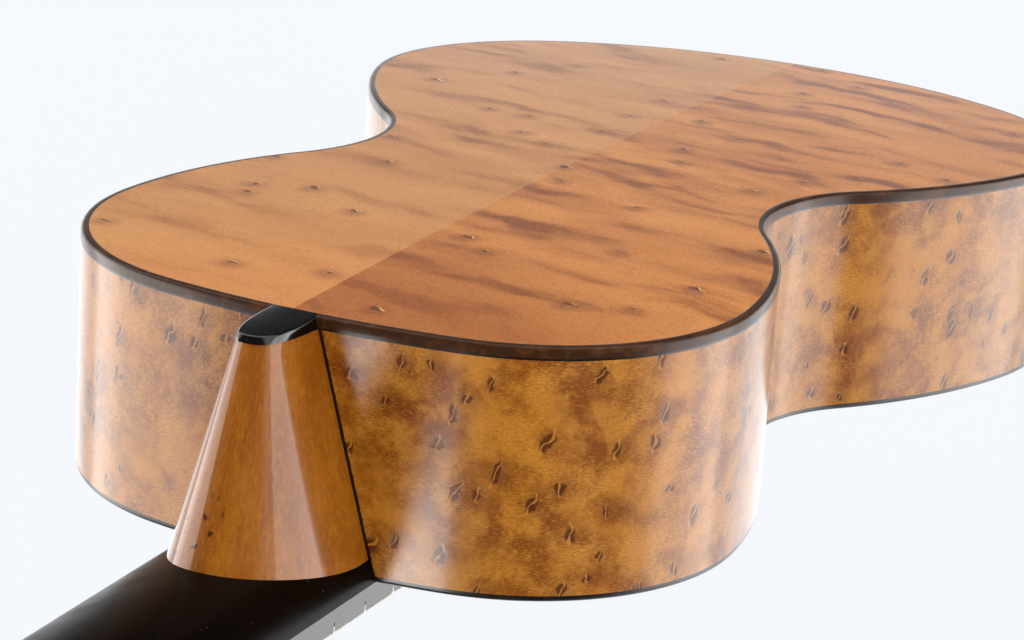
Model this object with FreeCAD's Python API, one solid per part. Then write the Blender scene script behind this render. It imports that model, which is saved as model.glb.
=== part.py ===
import FreeCAD, Part
import math
import os

# A small-bodied acoustic guitar with a flat soundboard, an arched back, a cone heel and a slotted head.
#
# Frame, in millimetres: X runs across the guitar towards the treble side, +Y points out of the back,
# and +Z runs up the neck. Y = 0 is the face of the soundboard, which is also the plane where the
# fingerboard is glued to the neck. The origin is the middle of the nut's front edge, between the two
# arms of a wall hanger. Along the body, "depth" below the neck joint is measured towards the tail.

V = FreeCAD.Vector
SIDES = {"treble": 1, "bass": -1}

# Strings and scale
SCALE = 640.0
FRET_COUNT = 19
COMPENSATION = 1.5
STRING_DIAMETERS = [0.71, 0.81, 1.02, 0.74, 0.89, 1.09]
NUT_STRING_SPREAD = 40.0
SADDLE_STRING_SPREAD = 58.0
STRING_HEIGHT_AT_NUT = 0.5
SADDLE_TOP = 14.0
STRING_LIFT = 0.3
STRING_BEND = 3.0

# Body outline: one half, from the neck joint to the tail, as arcs that meet without a corner.
# Each arc has a radius and the angle it turns through; a negative pair bends outwards, at the waist.
# The last arc closes the outline on the centre line.
OUTLINE_ARCS = [
    (273.7, 10.4),
    (78.3, 81.3),
    (159.7, 30.4),
    (-64.4, -73.6),
    (199.5, 25.4),
    (95.9, 72.7),
    (165.1, 25.0),
]
JOINT_Z = -(SCALE / 2 + 3.6)

# Arched back: part of a large ball
BACK_CREST = 82.6
CREST_DEPTH = 187.0
DOME_RADIUS = 7235.0

# Plates, sides and trim
TOP_THICK = 2.4
BACK_THICK = 2.4
SIDE_THICK = 2.0
BINDING_HEIGHT = 3.4
TOP_BINDING_HEIGHT = 2.1
PURFLING = 0.6
PLATE_INSET = SIDE_THICK + PURFLING
BACK_SEAM_X = -3.0
LINING_INSET = 7.5
LINING_HEIGHT = 13.0
SOUNDHOLE_Z = -473.0
SOUNDHOLE_RADIUS = 41.0
ROSETTE_DEPTH = 1.0
ROSETTE_RINGS = [(44.5, 45.7), (47.0, 53.0), (54.3, 55.5)]

# Blocks and braces, placed by their depth below the neck joint
HEAD_BLOCK_WIDTH = 64.0
HEAD_BLOCK_DEPTH = 30.0
TAIL_BLOCK_WIDTH = 56.0
TAIL_BLOCK_DEPTH = 20.0
TOP_BRACE_DEPTHS = [66.0, 97.0, 204.0, 262.0, 374.0]
TOP_BRACE_WIDTH = 8.0
TOP_BRACE_HEIGHT = 15.0
BACK_BRACE_DEPTHS = [80.0, 175.0, 275.0, 375.0]
BACK_BRACE_WIDTH = 7.0
BACK_BRACE_HEIGHT = 14.0
BRACE_END_HEIGHT = 4.0
CENTRE_STRIP_WIDTH = 16.0
CENTRE_STRIP_THICK = 2.0
BRIDGE_PLATE_LENGTH = 170.0
BRIDGE_PLATE_WIDTH = 32.0
BRIDGE_PLATE_THICK = 2.5
GRAFT_WIDTH = 12.0

# Neck, heel and fingerboard
NUT_HALF_WIDTH = 24.0
JOINT_HALF_WIDTH = 29.4
BOARD_THICK = 7.2
BOARD_END_Z = -427.0
NECK_FLAT = 1.3
NECK_DEPTH_AT_JOINT = 14.4
NECK_DEPTH_AT_NUT = 13.6
NECK_DEPTH_AT_HEAD = 16.4
SWELL_SPAN = (-36.0, 8.0)
SWELL_STEPS = 8
NUT_THICK = 5.0
NUT_ABOVE_STRING = 0.9
FRET_CROWN_WIDTH = 2.2
FRET_CROWN_HEIGHT = 1.0
FRET_TANG_WIDTH = 0.5
FRET_TANG_DEPTH = 1.8
FRET_SLOT_DEPTH = 3.0
CAP_THICK_AT_BODY = BINDING_HEIGHT + PURFLING
CAP_THICK_AT_FRONT = 2.3
HEEL_CAP_HALF_WIDTH = 7.3
HEEL_CAP_LENGTH = 24.5
HEEL_CAP_SHIFT = -2.2
HEEL_FOOT_HALF_WIDTH = 29.1
HEEL_FOOT_LENGTH = 60.0
HEEL_START_Y = 5.0
TENON_WIDTH = 20.0
TENON_LENGTH = 14.0
TENON_SPAN = (18.0, 70.0)

# Bridge
BRIDGE_HEIGHT = 9.5
BRIDGE_TOP_EDGE_Z = -634.0
BRIDGE_WIDTH = 26.0
BRIDGE_HALF_LENGTH = 82.0
BRIDGE_BLOCK_HALF_LENGTH = 40.0
SADDLE_THICK = 2.4
SADDLE_LENGTH = 74.0
SADDLE_SLOT_FLOOR = 4.5
PIN_Z = -652.5
PIN_RADIUS = 2.5
PIN_HEAD_RADIUS = 3.8
PIN_HOLE_RADIUS = 2.55

# End pin
END_PIN_SHAFT_RADIUS = 4.5
END_PIN_SHAFT_LENGTH = 20.0
END_PIN_NECK_RADIUS = 5.2
END_PIN_FLANGE_RADIUS = 8.0
END_PIN_HEAD_RADIUS = 7.0
END_PIN_HEAD_LENGTH = 6.0
END_PIN_Y = 38.0

# Head, in its own frame: y = 0 is the wooden face, z = 0 is the end against the neck
HEAD_TILT = 13.0
HEAD_LENGTH = 170.0
HEAD_HALF_WIDTH = 35.0
HEAD_THICK = 18.0
HEADPLATE_THICK = 1.5
SLOT_INNER = 7.0
SLOT_OUTER = 24.0
SLOT_SPAN = (20.0, 140.0)
ROLLER_SPOTS = [55.0, 90.0, 125.0]
ROLLER_Y = 9.0
ROLLER_RADIUS = 3.5
ROLLER_FIT = 0.06
ROLLER_INNER_X = 2.5
STRING_HOLE_RADIUS = 0.9
PLATE_THICK = 1.5
PLATE_SPAN_Y = (1.5, 16.5)
PLATE_SPAN_Z = (42.0, 143.0)
PLATE_SCREW_SPOTS = [45.5, 74.0, 109.0, 139.5]

# Worm gears
GEAR_TEETH = 14
GEAR_MODULE = 0.75
GEAR_THICK = 2.0
GEAR_CENTRE_X = 39.8
WORM_PITCH_RADIUS = 2.2
WORM_CORE_RADIUS = 1.6
WORM_OUTER_RADIUS = 2.8
WORM_TURNS = 3
GEAR_PLAY = 0.05
THREAD_ROOT_WIDTH = 1.2
THREAD_TIP_WIDTH = 0.5
TOOTH_ROOT_WIDTH = 1.15
TOOTH_TIP_WIDTH = 0.45
LUG_THICK = 2.0
LUG_GAP = 0.4
LUG_HALF_HEIGHT = 3.0
KEY_END_Y = 25.0
BUTTON_START_Y = 22.0
BUTTON_LENGTH = 14.0
BUTTON_WIDTH = 17.0
BUTTON_THICK = 8.0

WORM_PITCH = math.pi * GEAR_MODULE
GEAR_PITCH_RADIUS = GEAR_TEETH * GEAR_MODULE / 2
WORM_OFFSET = GEAR_PITCH_RADIUS + WORM_PITCH_RADIUS + GEAR_PLAY
PLATE_OUTER_X = HEAD_HALF_WIDTH + PLATE_THICK
LUG_FRONT_Y = ROLLER_Y - 2 * WORM_PITCH - LUG_GAP - LUG_THICK + 0.5
LUG_BACK_Y = 2 * ROLLER_Y - LUG_FRONT_Y - LUG_THICK
SADDLE_Z = -(SCALE + COMPENSATION)


# ---------------------------------------------------------------- helpers

def save(name, shape):
    """Write one sub-part as a STEP file."""
    shape.exportStep(os.path.join("parts", name + ".step"))


def box(low, high):
    """A block between two opposite corners."""
    size = V(*high) - V(*low)
    return Part.makeBox(size.x, size.y, size.z, V(*low))


def rod(radius, start, end):
    """A round bar between two points."""
    start, end = V(*start), V(*end)
    return Part.makeCylinder(radius, (end - start).Length, start, end - start)


def mirror_x(shape):
    """The same shape on the other side of the centre line."""
    return shape.mirror(V(0, 0, 0), V(1, 0, 0))


def on_side(shape, side):
    """A shape made for the treble side, moved to the side asked for."""
    return shape if side > 0 else mirror_x(shape)


def one_side(shape, side, joint_x=0.0):
    """The part of a shape on one side of the centre line, or of a joint beside it."""
    far = 400.0
    low_x, high_x = sorted((joint_x, side * far))
    return shape.common(box((low_x, -far, -3 * far), (high_x, far, far)))


def depth_z(depth):
    """The height of a place given by its depth below the neck joint."""
    return JOINT_Z - depth


def fret_z(number):
    """The height of a fret, or of the nut for number 0."""
    return -SCALE * (1 - 2 ** (-number / 12))


def board_half_width(z):
    """Half the width of the fingerboard, which widens evenly from the nut."""
    return NUT_HALF_WIDTH + (JOINT_HALF_WIDTH - NUT_HALF_WIDTH) * z / fret_z(12)


def smooth_edge(points):
    """A smooth curve through points."""
    curve = Part.BSplineCurve()
    curve.interpolate([V(*p) for p in points])
    return curve.toShape()


def line_edge(start, end):
    """A straight edge."""
    return Part.LineSegment(V(*start), V(*end)).toShape()


# ---------------------------------------------------------------- body

def outline_arcs(inset):
    """Start, middle and end of each arc of the half outline, as (across, depth) pairs."""
    across, depth, heading = 0.0, inset, 0.0
    arcs = []

    def point(radius, angle):
        turned = math.radians(angle)
        first = math.radians(heading)
        return (across + radius * (math.sin(turned) - math.sin(first)),
                depth + radius * (math.cos(first) - math.cos(turned)))

    for radius, turn in OUTLINE_ARCS:
        radius -= inset
        start = (across, depth)
        middle = point(radius, heading + turn / 2)
        end = point(radius, heading + turn)
        arcs.append((start, middle, end))
        (across, depth), heading = end, heading + turn
    radius = across / math.sin(math.radians(heading))
    middle = point(radius, (heading + 180.0) / 2)
    end = (0.0, point(radius, 180.0)[1])
    arcs.append(((across, depth), middle, end))
    return arcs


BODY_LENGTH = outline_arcs(0.0)[-1][2][1]


def prism(inset, low_y, high_y):
    """The body outline, moved inwards by inset, as a block between two heights."""
    arcs = outline_arcs(inset)
    edges = [Part.Arc(*[V(a, low_y, depth_z(d)) for a, d in arc]).toShape() for arc in arcs]
    edges += [Part.Arc(*[V(-a, low_y, depth_z(d)) for a, d in reversed(arc)]).toShape()
              for arc in reversed(arcs)]
    return Part.Face(Part.Wire(edges)).extrude(V(0, high_y - low_y, 0))


def hoop(outer_inset, inner_inset, low_y, high_y):
    """A ring that follows the body outline."""
    return prism(outer_inset, low_y, high_y).cut(prism(inner_inset, low_y, high_y))


def back_height(depth):
    """The height of the arched back on the centre line."""
    return BACK_CREST - DOME_RADIUS + math.sqrt(DOME_RADIUS ** 2 - (depth - CREST_DEPTH) ** 2)


def dome(below):
    """The ball whose surface is the arched back, or lies a given distance below it."""
    centre = V(0, BACK_CREST - DOME_RADIUS, depth_z(CREST_DEPTH))
    return Part.makeSphere(DOME_RADIUS - below, centre)


def dome_layer(shape, top, bottom):
    """The part of a shape between two distances below the arched back."""
    return shape.common(dome(top)).cut(dome(bottom))


ABOVE_DOME = BACK_CREST + 5.0
NEAR_DOME = 50.0


def tenon():
    """The block of the heel that is let into the body."""
    low = (-TENON_WIDTH / 2, TENON_SPAN[0], depth_z(SIDE_THICK + TENON_LENGTH))
    return box(low, (TENON_WIDTH / 2, TENON_SPAN[1], depth_z(-2.0)))


def graft_space():
    """The space of the strip that covers the joint of the sides at the tail."""
    low = (-GRAFT_WIDTH / 2, TOP_BINDING_HEIGHT, depth_z(BODY_LENGTH + 1.0))
    return box(low, (GRAFT_WIDTH / 2, ABOVE_DOME, depth_z(BODY_LENGTH - 10.0)))


def end_pin_hole():
    """The bore for the end pin through the tail."""
    low_z = depth_z(BODY_LENGTH + 5.0)
    return rod(END_PIN_SHAFT_RADIUS, (0, END_PIN_Y, low_z), (0, END_PIN_Y, low_z + 40.0))


def side_wall():
    """Both bent sides, with the space for the end graft and the tenon left out."""
    wall = hoop(0.0, SIDE_THICK, TOP_BINDING_HEIGHT, ABOVE_DOME)
    wall = wall.common(dome(BINDING_HEIGHT + PURFLING))
    return wall.cut(graft_space()).cut(tenon())


def end_graft():
    """The inlaid strip at the tail, bored for the end pin."""
    strip = hoop(0.0, SIDE_THICK, TOP_BINDING_HEIGHT, ABOVE_DOME).common(graft_space())
    return strip.common(dome(BINDING_HEIGHT + PURFLING)).cut(end_pin_hole())


def back_plate():
    """The arched back, without its trim."""
    return dome_layer(prism(PLATE_INSET, NEAR_DOME, ABOVE_DOME), 0.0, BACK_THICK)


def back_binding(cap):
    """The band around the edge of the back, which stops at the heel cap."""
    return dome_layer(hoop(0.0, SIDE_THICK, NEAR_DOME, ABOVE_DOME), 0.0, BINDING_HEIGHT).cut(cap)


def purfling(cap):
    """Thin lines: inside the two bindings, and under the band at the back."""
    back_line = dome_layer(hoop(SIDE_THICK, PLATE_INSET, NEAR_DOME, ABOVE_DOME), 0.0, BACK_THICK)
    under_band = dome_layer(hoop(0.0, SIDE_THICK, NEAR_DOME, ABOVE_DOME),
                            BINDING_HEIGHT, BINDING_HEIGHT + PURFLING)
    top_line = hoop(SIDE_THICK, PLATE_INSET, 0.0, TOP_THICK)
    return Part.makeCompound([back_line.cut(cap), under_band.cut(cap), top_line])


def pin_holes(radius):
    """Six bars where the bridge pins go through."""
    reach = 40.0
    return [rod(radius, (string_x(n, PIN_Z), -reach, PIN_Z), (string_x(n, PIN_Z), reach, PIN_Z))
            for n in range(1, 7)]


def rosette_rings():
    """The inlaid rings around the soundhole."""
    rings = []
    for inner, outer in ROSETTE_RINGS:
        disc = Part.makeCylinder(outer, ROSETTE_DEPTH, V(0, 0, SOUNDHOLE_Z), V(0, 1, 0))
        hole = Part.makeCylinder(inner, ROSETTE_DEPTH, V(0, 0, SOUNDHOLE_Z), V(0, 1, 0))
        rings.append(disc.cut(hole))
    return rings


def soundboard():
    """The flat top with its soundhole, rosette channels and pin holes."""
    board = prism(PLATE_INSET, 0.0, TOP_THICK)
    board = board.cut(Part.makeCylinder(SOUNDHOLE_RADIUS, TOP_THICK, V(0, 0, SOUNDHOLE_Z), V(0, 1, 0)))
    return board.cut(rosette_rings() + pin_holes(PIN_HOLE_RADIUS))


def block_space(width, low_depth, high_depth):
    """The space of a block at one end of the body."""
    return box((-width / 2, TOP_THICK, depth_z(high_depth)), (width / 2, ABOVE_DOME, depth_z(low_depth)))


def end_block(width, low_depth, high_depth):
    """A block between the two plates that fills one end of the body."""
    inside = prism(SIDE_THICK, TOP_THICK, ABOVE_DOME).common(dome(BACK_THICK))
    return inside.common(block_space(width, low_depth, high_depth))


def linings(blocks):
    """Strips in the corners between the sides and the two plates, stopping at the blocks."""
    top = hoop(SIDE_THICK, LINING_INSET, TOP_THICK, TOP_THICK + LINING_HEIGHT)
    back = dome_layer(hoop(SIDE_THICK, LINING_INSET, NEAR_DOME, ABOVE_DOME),
                      BACK_THICK, BACK_THICK + LINING_HEIGHT)
    return top.cut(blocks), back.cut(blocks)


def brace_profile(half_length, foot_y, height):
    """A brace seen from the end of the body: full height in the middle, low at both ends."""
    taper = 45.0
    reach = [(-half_length, BRACE_END_HEIGHT), (taper - half_length, height),
             (half_length - taper, height), (half_length, BRACE_END_HEIGHT)]
    points = [V(x, foot_y + y, 0) for x, y in [(-half_length, 0.0)] + reach + [(half_length, 0.0)]]
    return Part.Face(Part.makePolygon(points + points[:1]))


def half_width_inside(depth):
    """Half the width between the linings at a depth below the neck joint."""
    line = line_edge((0, 0, depth_z(depth)), (400.0, 0, depth_z(depth)))
    return line.common(prism(LINING_INSET, -1.0, 1.0)).BoundBox.XMax


def top_braces():
    """Straight bars across the inside of the soundboard."""
    braces = []
    for depth in TOP_BRACE_DEPTHS:
        half = half_width_inside(depth)
        profile = brace_profile(half, TOP_THICK, TOP_BRACE_HEIGHT)
        bar = profile.extrude(V(0, 0, TOP_BRACE_WIDTH))
        bar.translate(V(0, 0, depth_z(depth) - TOP_BRACE_WIDTH / 2))
        braces.append(bar.common(prism(LINING_INSET, 0.0, ABOVE_DOME)))
    return braces


def back_braces():
    """Bars across the inside of the back, shaped to its arch."""
    braces = []
    for depth in BACK_BRACE_DEPTHS:
        low = (-200.0, NEAR_DOME, depth_z(depth) - BACK_BRACE_WIDTH / 2)
        bar = box(low, (200.0, ABOVE_DOME, depth_z(depth) + BACK_BRACE_WIDTH / 2))
        bar = dome_layer(bar, BACK_THICK, BACK_THICK + BACK_BRACE_HEIGHT)
        braces.append(bar.common(prism(LINING_INSET, 0.0, ABOVE_DOME)))
    return braces


def centre_strip(braces, blocks):
    """The strip that backs the joint of the two back halves, between the braces."""
    half = CENTRE_STRIP_WIDTH / 2
    low = (BACK_SEAM_X - half, NEAR_DOME, depth_z(BODY_LENGTH - LINING_INSET))
    strip = box(low, (BACK_SEAM_X + half, ABOVE_DOME, depth_z(LINING_INSET)))
    strip = dome_layer(strip, BACK_THICK, BACK_THICK + CENTRE_STRIP_THICK)
    return strip.cut(braces + blocks)


def bridge_plate():
    """The flat plate that backs the bridge inside."""
    middle = PIN_Z + 4.0
    low = (-BRIDGE_PLATE_LENGTH / 2, TOP_THICK, middle - BRIDGE_PLATE_WIDTH / 2)
    plate = box(low, (BRIDGE_PLATE_LENGTH / 2, TOP_THICK + BRIDGE_PLATE_THICK, middle + BRIDGE_PLATE_WIDTH / 2))
    return plate.cut(pin_holes(PIN_HOLE_RADIUS))


def end_pin():
    """The turned pin in the tail that holds a strap."""
    rim_z = depth_z(BODY_LENGTH)
    flange = 2.0
    waist = 4.0
    profile = [(0, END_PIN_SHAFT_LENGTH), (END_PIN_SHAFT_RADIUS, END_PIN_SHAFT_LENGTH),
               (END_PIN_SHAFT_RADIUS, 0), (END_PIN_FLANGE_RADIUS, 0), (END_PIN_FLANGE_RADIUS, -flange),
               (END_PIN_NECK_RADIUS, -flange - 0.8), (END_PIN_NECK_RADIUS, -flange - waist),
               (END_PIN_HEAD_RADIUS, -flange - waist - 1.0),
               (END_PIN_HEAD_RADIUS, -flange - waist - 1.0 - END_PIN_HEAD_LENGTH),
               (END_PIN_NECK_RADIUS, -flange - waist - 2.5 - END_PIN_HEAD_LENGTH),
               (0, -flange - waist - 3.0 - END_PIN_HEAD_LENGTH)]
    points = [V(x, END_PIN_Y, rim_z + z) for x, z in profile]
    face = Part.Face(Part.makePolygon(points + points[:1]))
    return face.revolve(V(0, END_PIN_Y, 0), V(0, 0, 1), 360)


# ---------------------------------------------------------------- neck and heel

def rounded_half(half_width, length, exponent, count):
    """Points of half a rounded form, from +half_width round to -half_width, length proud."""
    points = []
    for i in range(count):
        angle = math.pi * i / (count - 1)
        across, along = math.cos(angle), math.sin(angle)
        points.append((math.copysign(half_width * abs(across) ** (2 / exponent), across),
                       length * abs(along) ** (2 / exponent)))
    return points


def neck_section(z, half_width, depth, exponent):
    """A slice of the neck: flat on the fingerboard side, with short flat sides and a round back."""
    back = [(x, NECK_FLAT + y, z) for x, y in rounded_half(half_width, depth, exponent, 13)]
    right, left = (half_width, 0, z), (-half_width, 0, z)
    edges = [line_edge(right, back[0]), smooth_edge(back), line_edge(back[-1], left), line_edge(left, right)]
    return Part.Wire(edges)


def head_to_row(shape):
    """Move a shape from the head's own frame to the guitar's frame."""
    placed = shape.copy()
    placed.rotate(V(0, 0, 0), V(1, 0, 0), -HEAD_TILT)
    placed.translate(V(0, 0, NUT_THICK))
    return placed


def neck_shaft():
    """The handle of the neck, from the body to the head, where it swells into the head's square end."""
    sections = [neck_section(depth_z(1.5), board_half_width(depth_z(1.5)), NECK_DEPTH_AT_JOINT, 2.0)]
    for step in range(SWELL_STEPS + 1):
        share = step / SWELL_STEPS
        ease = share ** 2 * (3 - 2 * share)
        z = SWELL_SPAN[0] + (SWELL_SPAN[1] - SWELL_SPAN[0]) * share
        depth = NECK_DEPTH_AT_NUT + (NECK_DEPTH_AT_HEAD - NECK_DEPTH_AT_NUT) * ease
        sections.append(neck_section(z, board_half_width(min(z, 0.0)), depth, 2.0 + 2.0 * ease))
    shaft = Part.makeLoft(sections, True, True)
    above = head_to_row(box((-60, -60, 0), (60, 60, 60)))
    return shaft.cut(above).cut(prism(0.0, -1.0, ABOVE_DOME))


def heel_section(y, half_width, length, exponent, shift):
    """A slice of the heel: straight against the body and rounded towards the head."""
    inside = depth_z(3.0)
    front = [(x + shift, y, JOINT_Z + z) for x, z in rounded_half(half_width, length, exponent, 13)]
    right, left = (half_width + shift, y, inside), (-half_width + shift, y, inside)
    edges = [line_edge(right, front[0]), smooth_edge(front), line_edge(front[-1], left), line_edge(left, right)]
    return Part.Wire(edges)


def heel_taper(y):
    """Half width, length, roundness and sideways lean of the heel at a height above the soundboard's face."""
    share = y / BACK_CREST
    half_width = HEEL_FOOT_HALF_WIDTH + (HEEL_CAP_HALF_WIDTH - HEEL_FOOT_HALF_WIDTH) * share
    length = HEEL_FOOT_LENGTH + (HEEL_CAP_LENGTH - HEEL_FOOT_LENGTH) * share
    return half_width, length, 2.0 + 0.8 * share, HEEL_CAP_SHIFT * share


def heel_cone():
    """The whole cone of the heel before it is fitted to its neighbours."""
    heights = (HEEL_START_Y, BACK_CREST + 3.0)
    return Part.makeLoft([heel_section(y, *heel_taper(y)) for y in heights], True, True)


def cap_seat():
    """Everything below the slanted face that the heel cap is glued to."""
    rim_y, front_y = back_height(0.0), back_height(-HEEL_CAP_LENGTH)
    body, front = rim_y - CAP_THICK_AT_BODY, front_y - CAP_THICK_AT_FRONT
    slope = (front - body) / HEEL_CAP_LENGTH
    near, far = -5.0, 70.0
    corners = [(near, body + slope * near), (far, body + slope * far), (far, -5.0), (near, -5.0)]
    points = [V(-60, y, JOINT_Z + z) for z, y in corners]
    return Part.Face(Part.makePolygon(points + points[:1])).extrude(V(120, 0, 0))


def heel(cone, shaft):
    """The cone heel with its tenon, seated on the round back of the neck."""
    below_cap = cone.common(cap_seat()).cut(prism(0.0, -1.0, ABOVE_DOME))
    return below_cap.cut(shaft).fuse(tenon().common(prism(0.0, 0.0, ABOVE_DOME)))


def heel_cap_blank(cone):
    """The cap before the back is taken away: the top slice of the heel, reaching over the rim."""
    half_width, _, _, shift = heel_taper(BACK_CREST - BACK_THICK)
    rim = hoop(0.0, PLATE_INSET, NEAR_DOME, ABOVE_DOME)
    low = (shift - half_width, NEAR_DOME, depth_z(10.0))
    over_rim = rim.common(box(low, (shift + half_width, ABOVE_DOME, depth_z(-3.0))))
    outside = cone.cut(prism(0.0, -1.0, ABOVE_DOME)).common(dome(0.0)).cut(cap_seat())
    return outside.fuse(dome_layer(over_rim, 0.0, CAP_THICK_AT_BODY))


def fingerboard():
    """The tapered board with its fret slots."""
    nut, end = board_half_width(0.0), board_half_width(BOARD_END_Z)
    points = [V(nut, 0, 0), V(end, 0, BOARD_END_Z), V(-end, 0, BOARD_END_Z), V(-nut, 0, 0)]
    board = Part.Face(Part.makePolygon(points + points[:1])).extrude(V(0, -BOARD_THICK, 0))
    half = FRET_TANG_WIDTH / 2
    slots = [box((-60, -BOARD_THICK, fret_z(n) - half), (60, FRET_SLOT_DEPTH - BOARD_THICK, fret_z(n) + half))
             for n in range(1, FRET_COUNT + 1)]
    return board.cut(slots)


def fret(number):
    """One fret: a rounded crown on a thin tang."""
    z = fret_z(number)
    half_length = board_half_width(z)
    crown_half, tang_half = FRET_CROWN_WIDTH / 2, FRET_TANG_WIDTH / 2
    foot = -BOARD_THICK
    crown = [Part.Arc(V(0, foot, z - crown_half), V(0, foot - FRET_CROWN_HEIGHT, z),
                      V(0, foot, z + crown_half)).toShape()]
    corners = [(foot, crown_half), (foot, tang_half), (foot + FRET_TANG_DEPTH, tang_half),
               (foot + FRET_TANG_DEPTH, -tang_half), (foot, -tang_half), (foot, -crown_half)]
    edges = crown + [line_edge((0, a[0], z + a[1]), (0, b[0], z + b[1])) for a, b in zip(corners, corners[1:])]
    bar = Part.Face(Part.Wire(edges)).extrude(V(2 * half_length, 0, 0))
    bar.translate(V(-half_length, 0, 0))
    return bar


# ---------------------------------------------------------------- strings, nut and bridge

def string_x(number, z):
    """Where a string lies across the guitar, at a height between the nut and the bridge."""
    place = (3.5 - number) / 5
    share = z / SADDLE_Z
    return place * (NUT_STRING_SPREAD + (SADDLE_STRING_SPREAD - NUT_STRING_SPREAD) * share)


def roller_of(number):
    """The side and the place of the roller that a string winds on."""
    side = 1 if number <= 3 else -1
    spot = number - 1 if side > 0 else 6 - number
    return side, ROLLER_SPOTS[spot]


def roller_string_x(number):
    """Where a string meets its roller across the head."""
    side, spot = roller_of(number)
    return side * {0: 17.5, 1: 14.5, 2: 11.5}[ROLLER_SPOTS.index(spot)]


def tangent_point(start, centre, radius):
    """Where a line from start touches the front of a circle, all in (y, z)."""
    gap_y, gap_z = centre[0] - start[0], centre[1] - start[1]
    distance = math.hypot(gap_y, gap_z)
    lean = math.asin(radius / distance)
    angle = math.atan2(gap_z, gap_y) + lean
    run = math.sqrt(distance ** 2 - radius ** 2)
    return start[0] + run * math.cos(angle), start[1] + run * math.sin(angle)


def string_points(number):
    """The corners of a string's path: bridge pin, saddle, nut and roller."""
    radius = STRING_DIAMETERS[number - 1] / 2
    start_z = PIN_Z + PIN_HEAD_RADIUS + radius
    start = V(string_x(number, PIN_Z), -BRIDGE_HEIGHT - radius - 0.05, start_z)
    saddle = V(string_x(number, SADDLE_Z), -SADDLE_TOP - radius - STRING_LIFT, SADDLE_Z)
    nut_y = -(BOARD_THICK + FRET_CROWN_HEIGHT + STRING_HEIGHT_AT_NUT + radius)
    nut = V(string_x(number, 0.0), nut_y, NUT_THICK / 2)
    side, spot = roller_of(number)
    centre = head_to_row(Part.Vertex(0, ROLLER_Y, spot)).Point
    reach = ROLLER_RADIUS + radius + 0.35
    end_y, end_z = tangent_point((nut.y, nut.z), (centre.y, centre.z), reach)
    return [start, saddle, nut, V(roller_string_x(number), end_y, end_z)]


def bent_path(points, bend_radius):
    """Straight runs joined by tangent arcs."""
    edges = []
    previous = points[0]
    for before, corner, after in zip(points, points[1:], points[2:]):
        inward, outward = (before - corner).normalize(), (after - corner).normalize()
        half_turn = (math.pi - inward.getAngle(outward)) / 2
        setback = bend_radius * math.tan(half_turn)
        start, end = corner + inward * setback, corner + outward * setback
        bisector = (inward + outward).normalize()
        middle = corner + bisector * (bend_radius / math.cos(half_turn) - bend_radius)
        edges += [line_edge(previous, start), Part.Arc(start, middle, end).toShape()]
        previous = end
    edges.append(line_edge(previous, points[-1]))
    return Part.Wire(edges)


def tube(points, radius):
    """A round tube along a bent path."""
    path = bent_path(points, STRING_BEND)
    ring = Part.Wire(Part.makeCircle(radius, points[0], points[1] - points[0]))
    return path.makePipeShell([ring], True, True)


def string(number):
    """One string, from its bridge pin to its roller."""
    return tube(string_points(number), STRING_DIAMETERS[number - 1] / 2)


def nut():
    """The slotted bar that spaces the strings at the head end."""
    top = -(BOARD_THICK + FRET_CROWN_HEIGHT + STRING_HEIGHT_AT_NUT + NUT_ABOVE_STRING)
    bar = box((-NUT_HALF_WIDTH, top, 0), (NUT_HALF_WIDTH, 0, NUT_THICK))
    cuts = []
    for number in range(1, 7):
        radius = STRING_DIAMETERS[number - 1] / 2 + 0.08
        points = string_points(number)
        cuts.append(tube(points[1:], radius))
        middle = points[2]
        cuts.append(box((middle.x - radius, top - 5, -5), (middle.x + radius, middle.y, NUT_THICK + 5)))
    return bar.cut(cuts)


def bridge():
    """A pin bridge: a raised block for saddle and pins, with thin wings."""
    wing_tip, wing_root, shoulder = 2.5, 4.5, 4.0
    block = BRIDGE_BLOCK_HALF_LENGTH
    half = [(BRIDGE_HALF_LENGTH, 0.0), (BRIDGE_HALF_LENGTH, wing_tip), (block + shoulder, wing_root),
            (block + 1.2, BRIDGE_HEIGHT - 2.0), (block - 1.5, BRIDGE_HEIGHT)]
    profile = [V(x, -y, 0) for x, y in half] + [V(-x, -y, 0) for x, y in reversed(half)]
    low_z = BRIDGE_TOP_EDGE_Z - BRIDGE_WIDTH
    body = Part.Face(Part.makePolygon(profile + profile[:1])).extrude(V(0, 0, BRIDGE_WIDTH))
    body.translate(V(0, 0, low_z))
    middle = low_z + BRIDGE_WIDTH / 2
    wing_half = 8.5
    corners = [(block, BRIDGE_WIDTH / 2), (block + 12, wing_half), (BRIDGE_HALF_LENGTH - 8, wing_half),
               (BRIDGE_HALF_LENGTH, 0)]
    upper = [(x, 0, middle + z) for x, z in corners]
    lower = [(x, 0, middle - z) for x, z in reversed(corners[:-1])]
    right = upper + lower
    left = [(-x, 0, z) for x, _, z in reversed(right)]
    plan = [V(*p) for p in right + left]
    mould = Part.Face(Part.makePolygon(plan + plan[:1])).extrude(V(0, -2 * BRIDGE_HEIGHT, 0))
    return body.common(mould).cut([saddle_space()] + pin_holes(PIN_HOLE_RADIUS))


def saddle_space():
    """The slot that the saddle stands in."""
    low = (-SADDLE_LENGTH / 2, -SADDLE_TOP - 1.0, SADDLE_Z - SADDLE_THICK / 2)
    return box(low, (SADDLE_LENGTH / 2, -SADDLE_SLOT_FLOOR, SADDLE_Z + SADDLE_THICK / 2))


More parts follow.
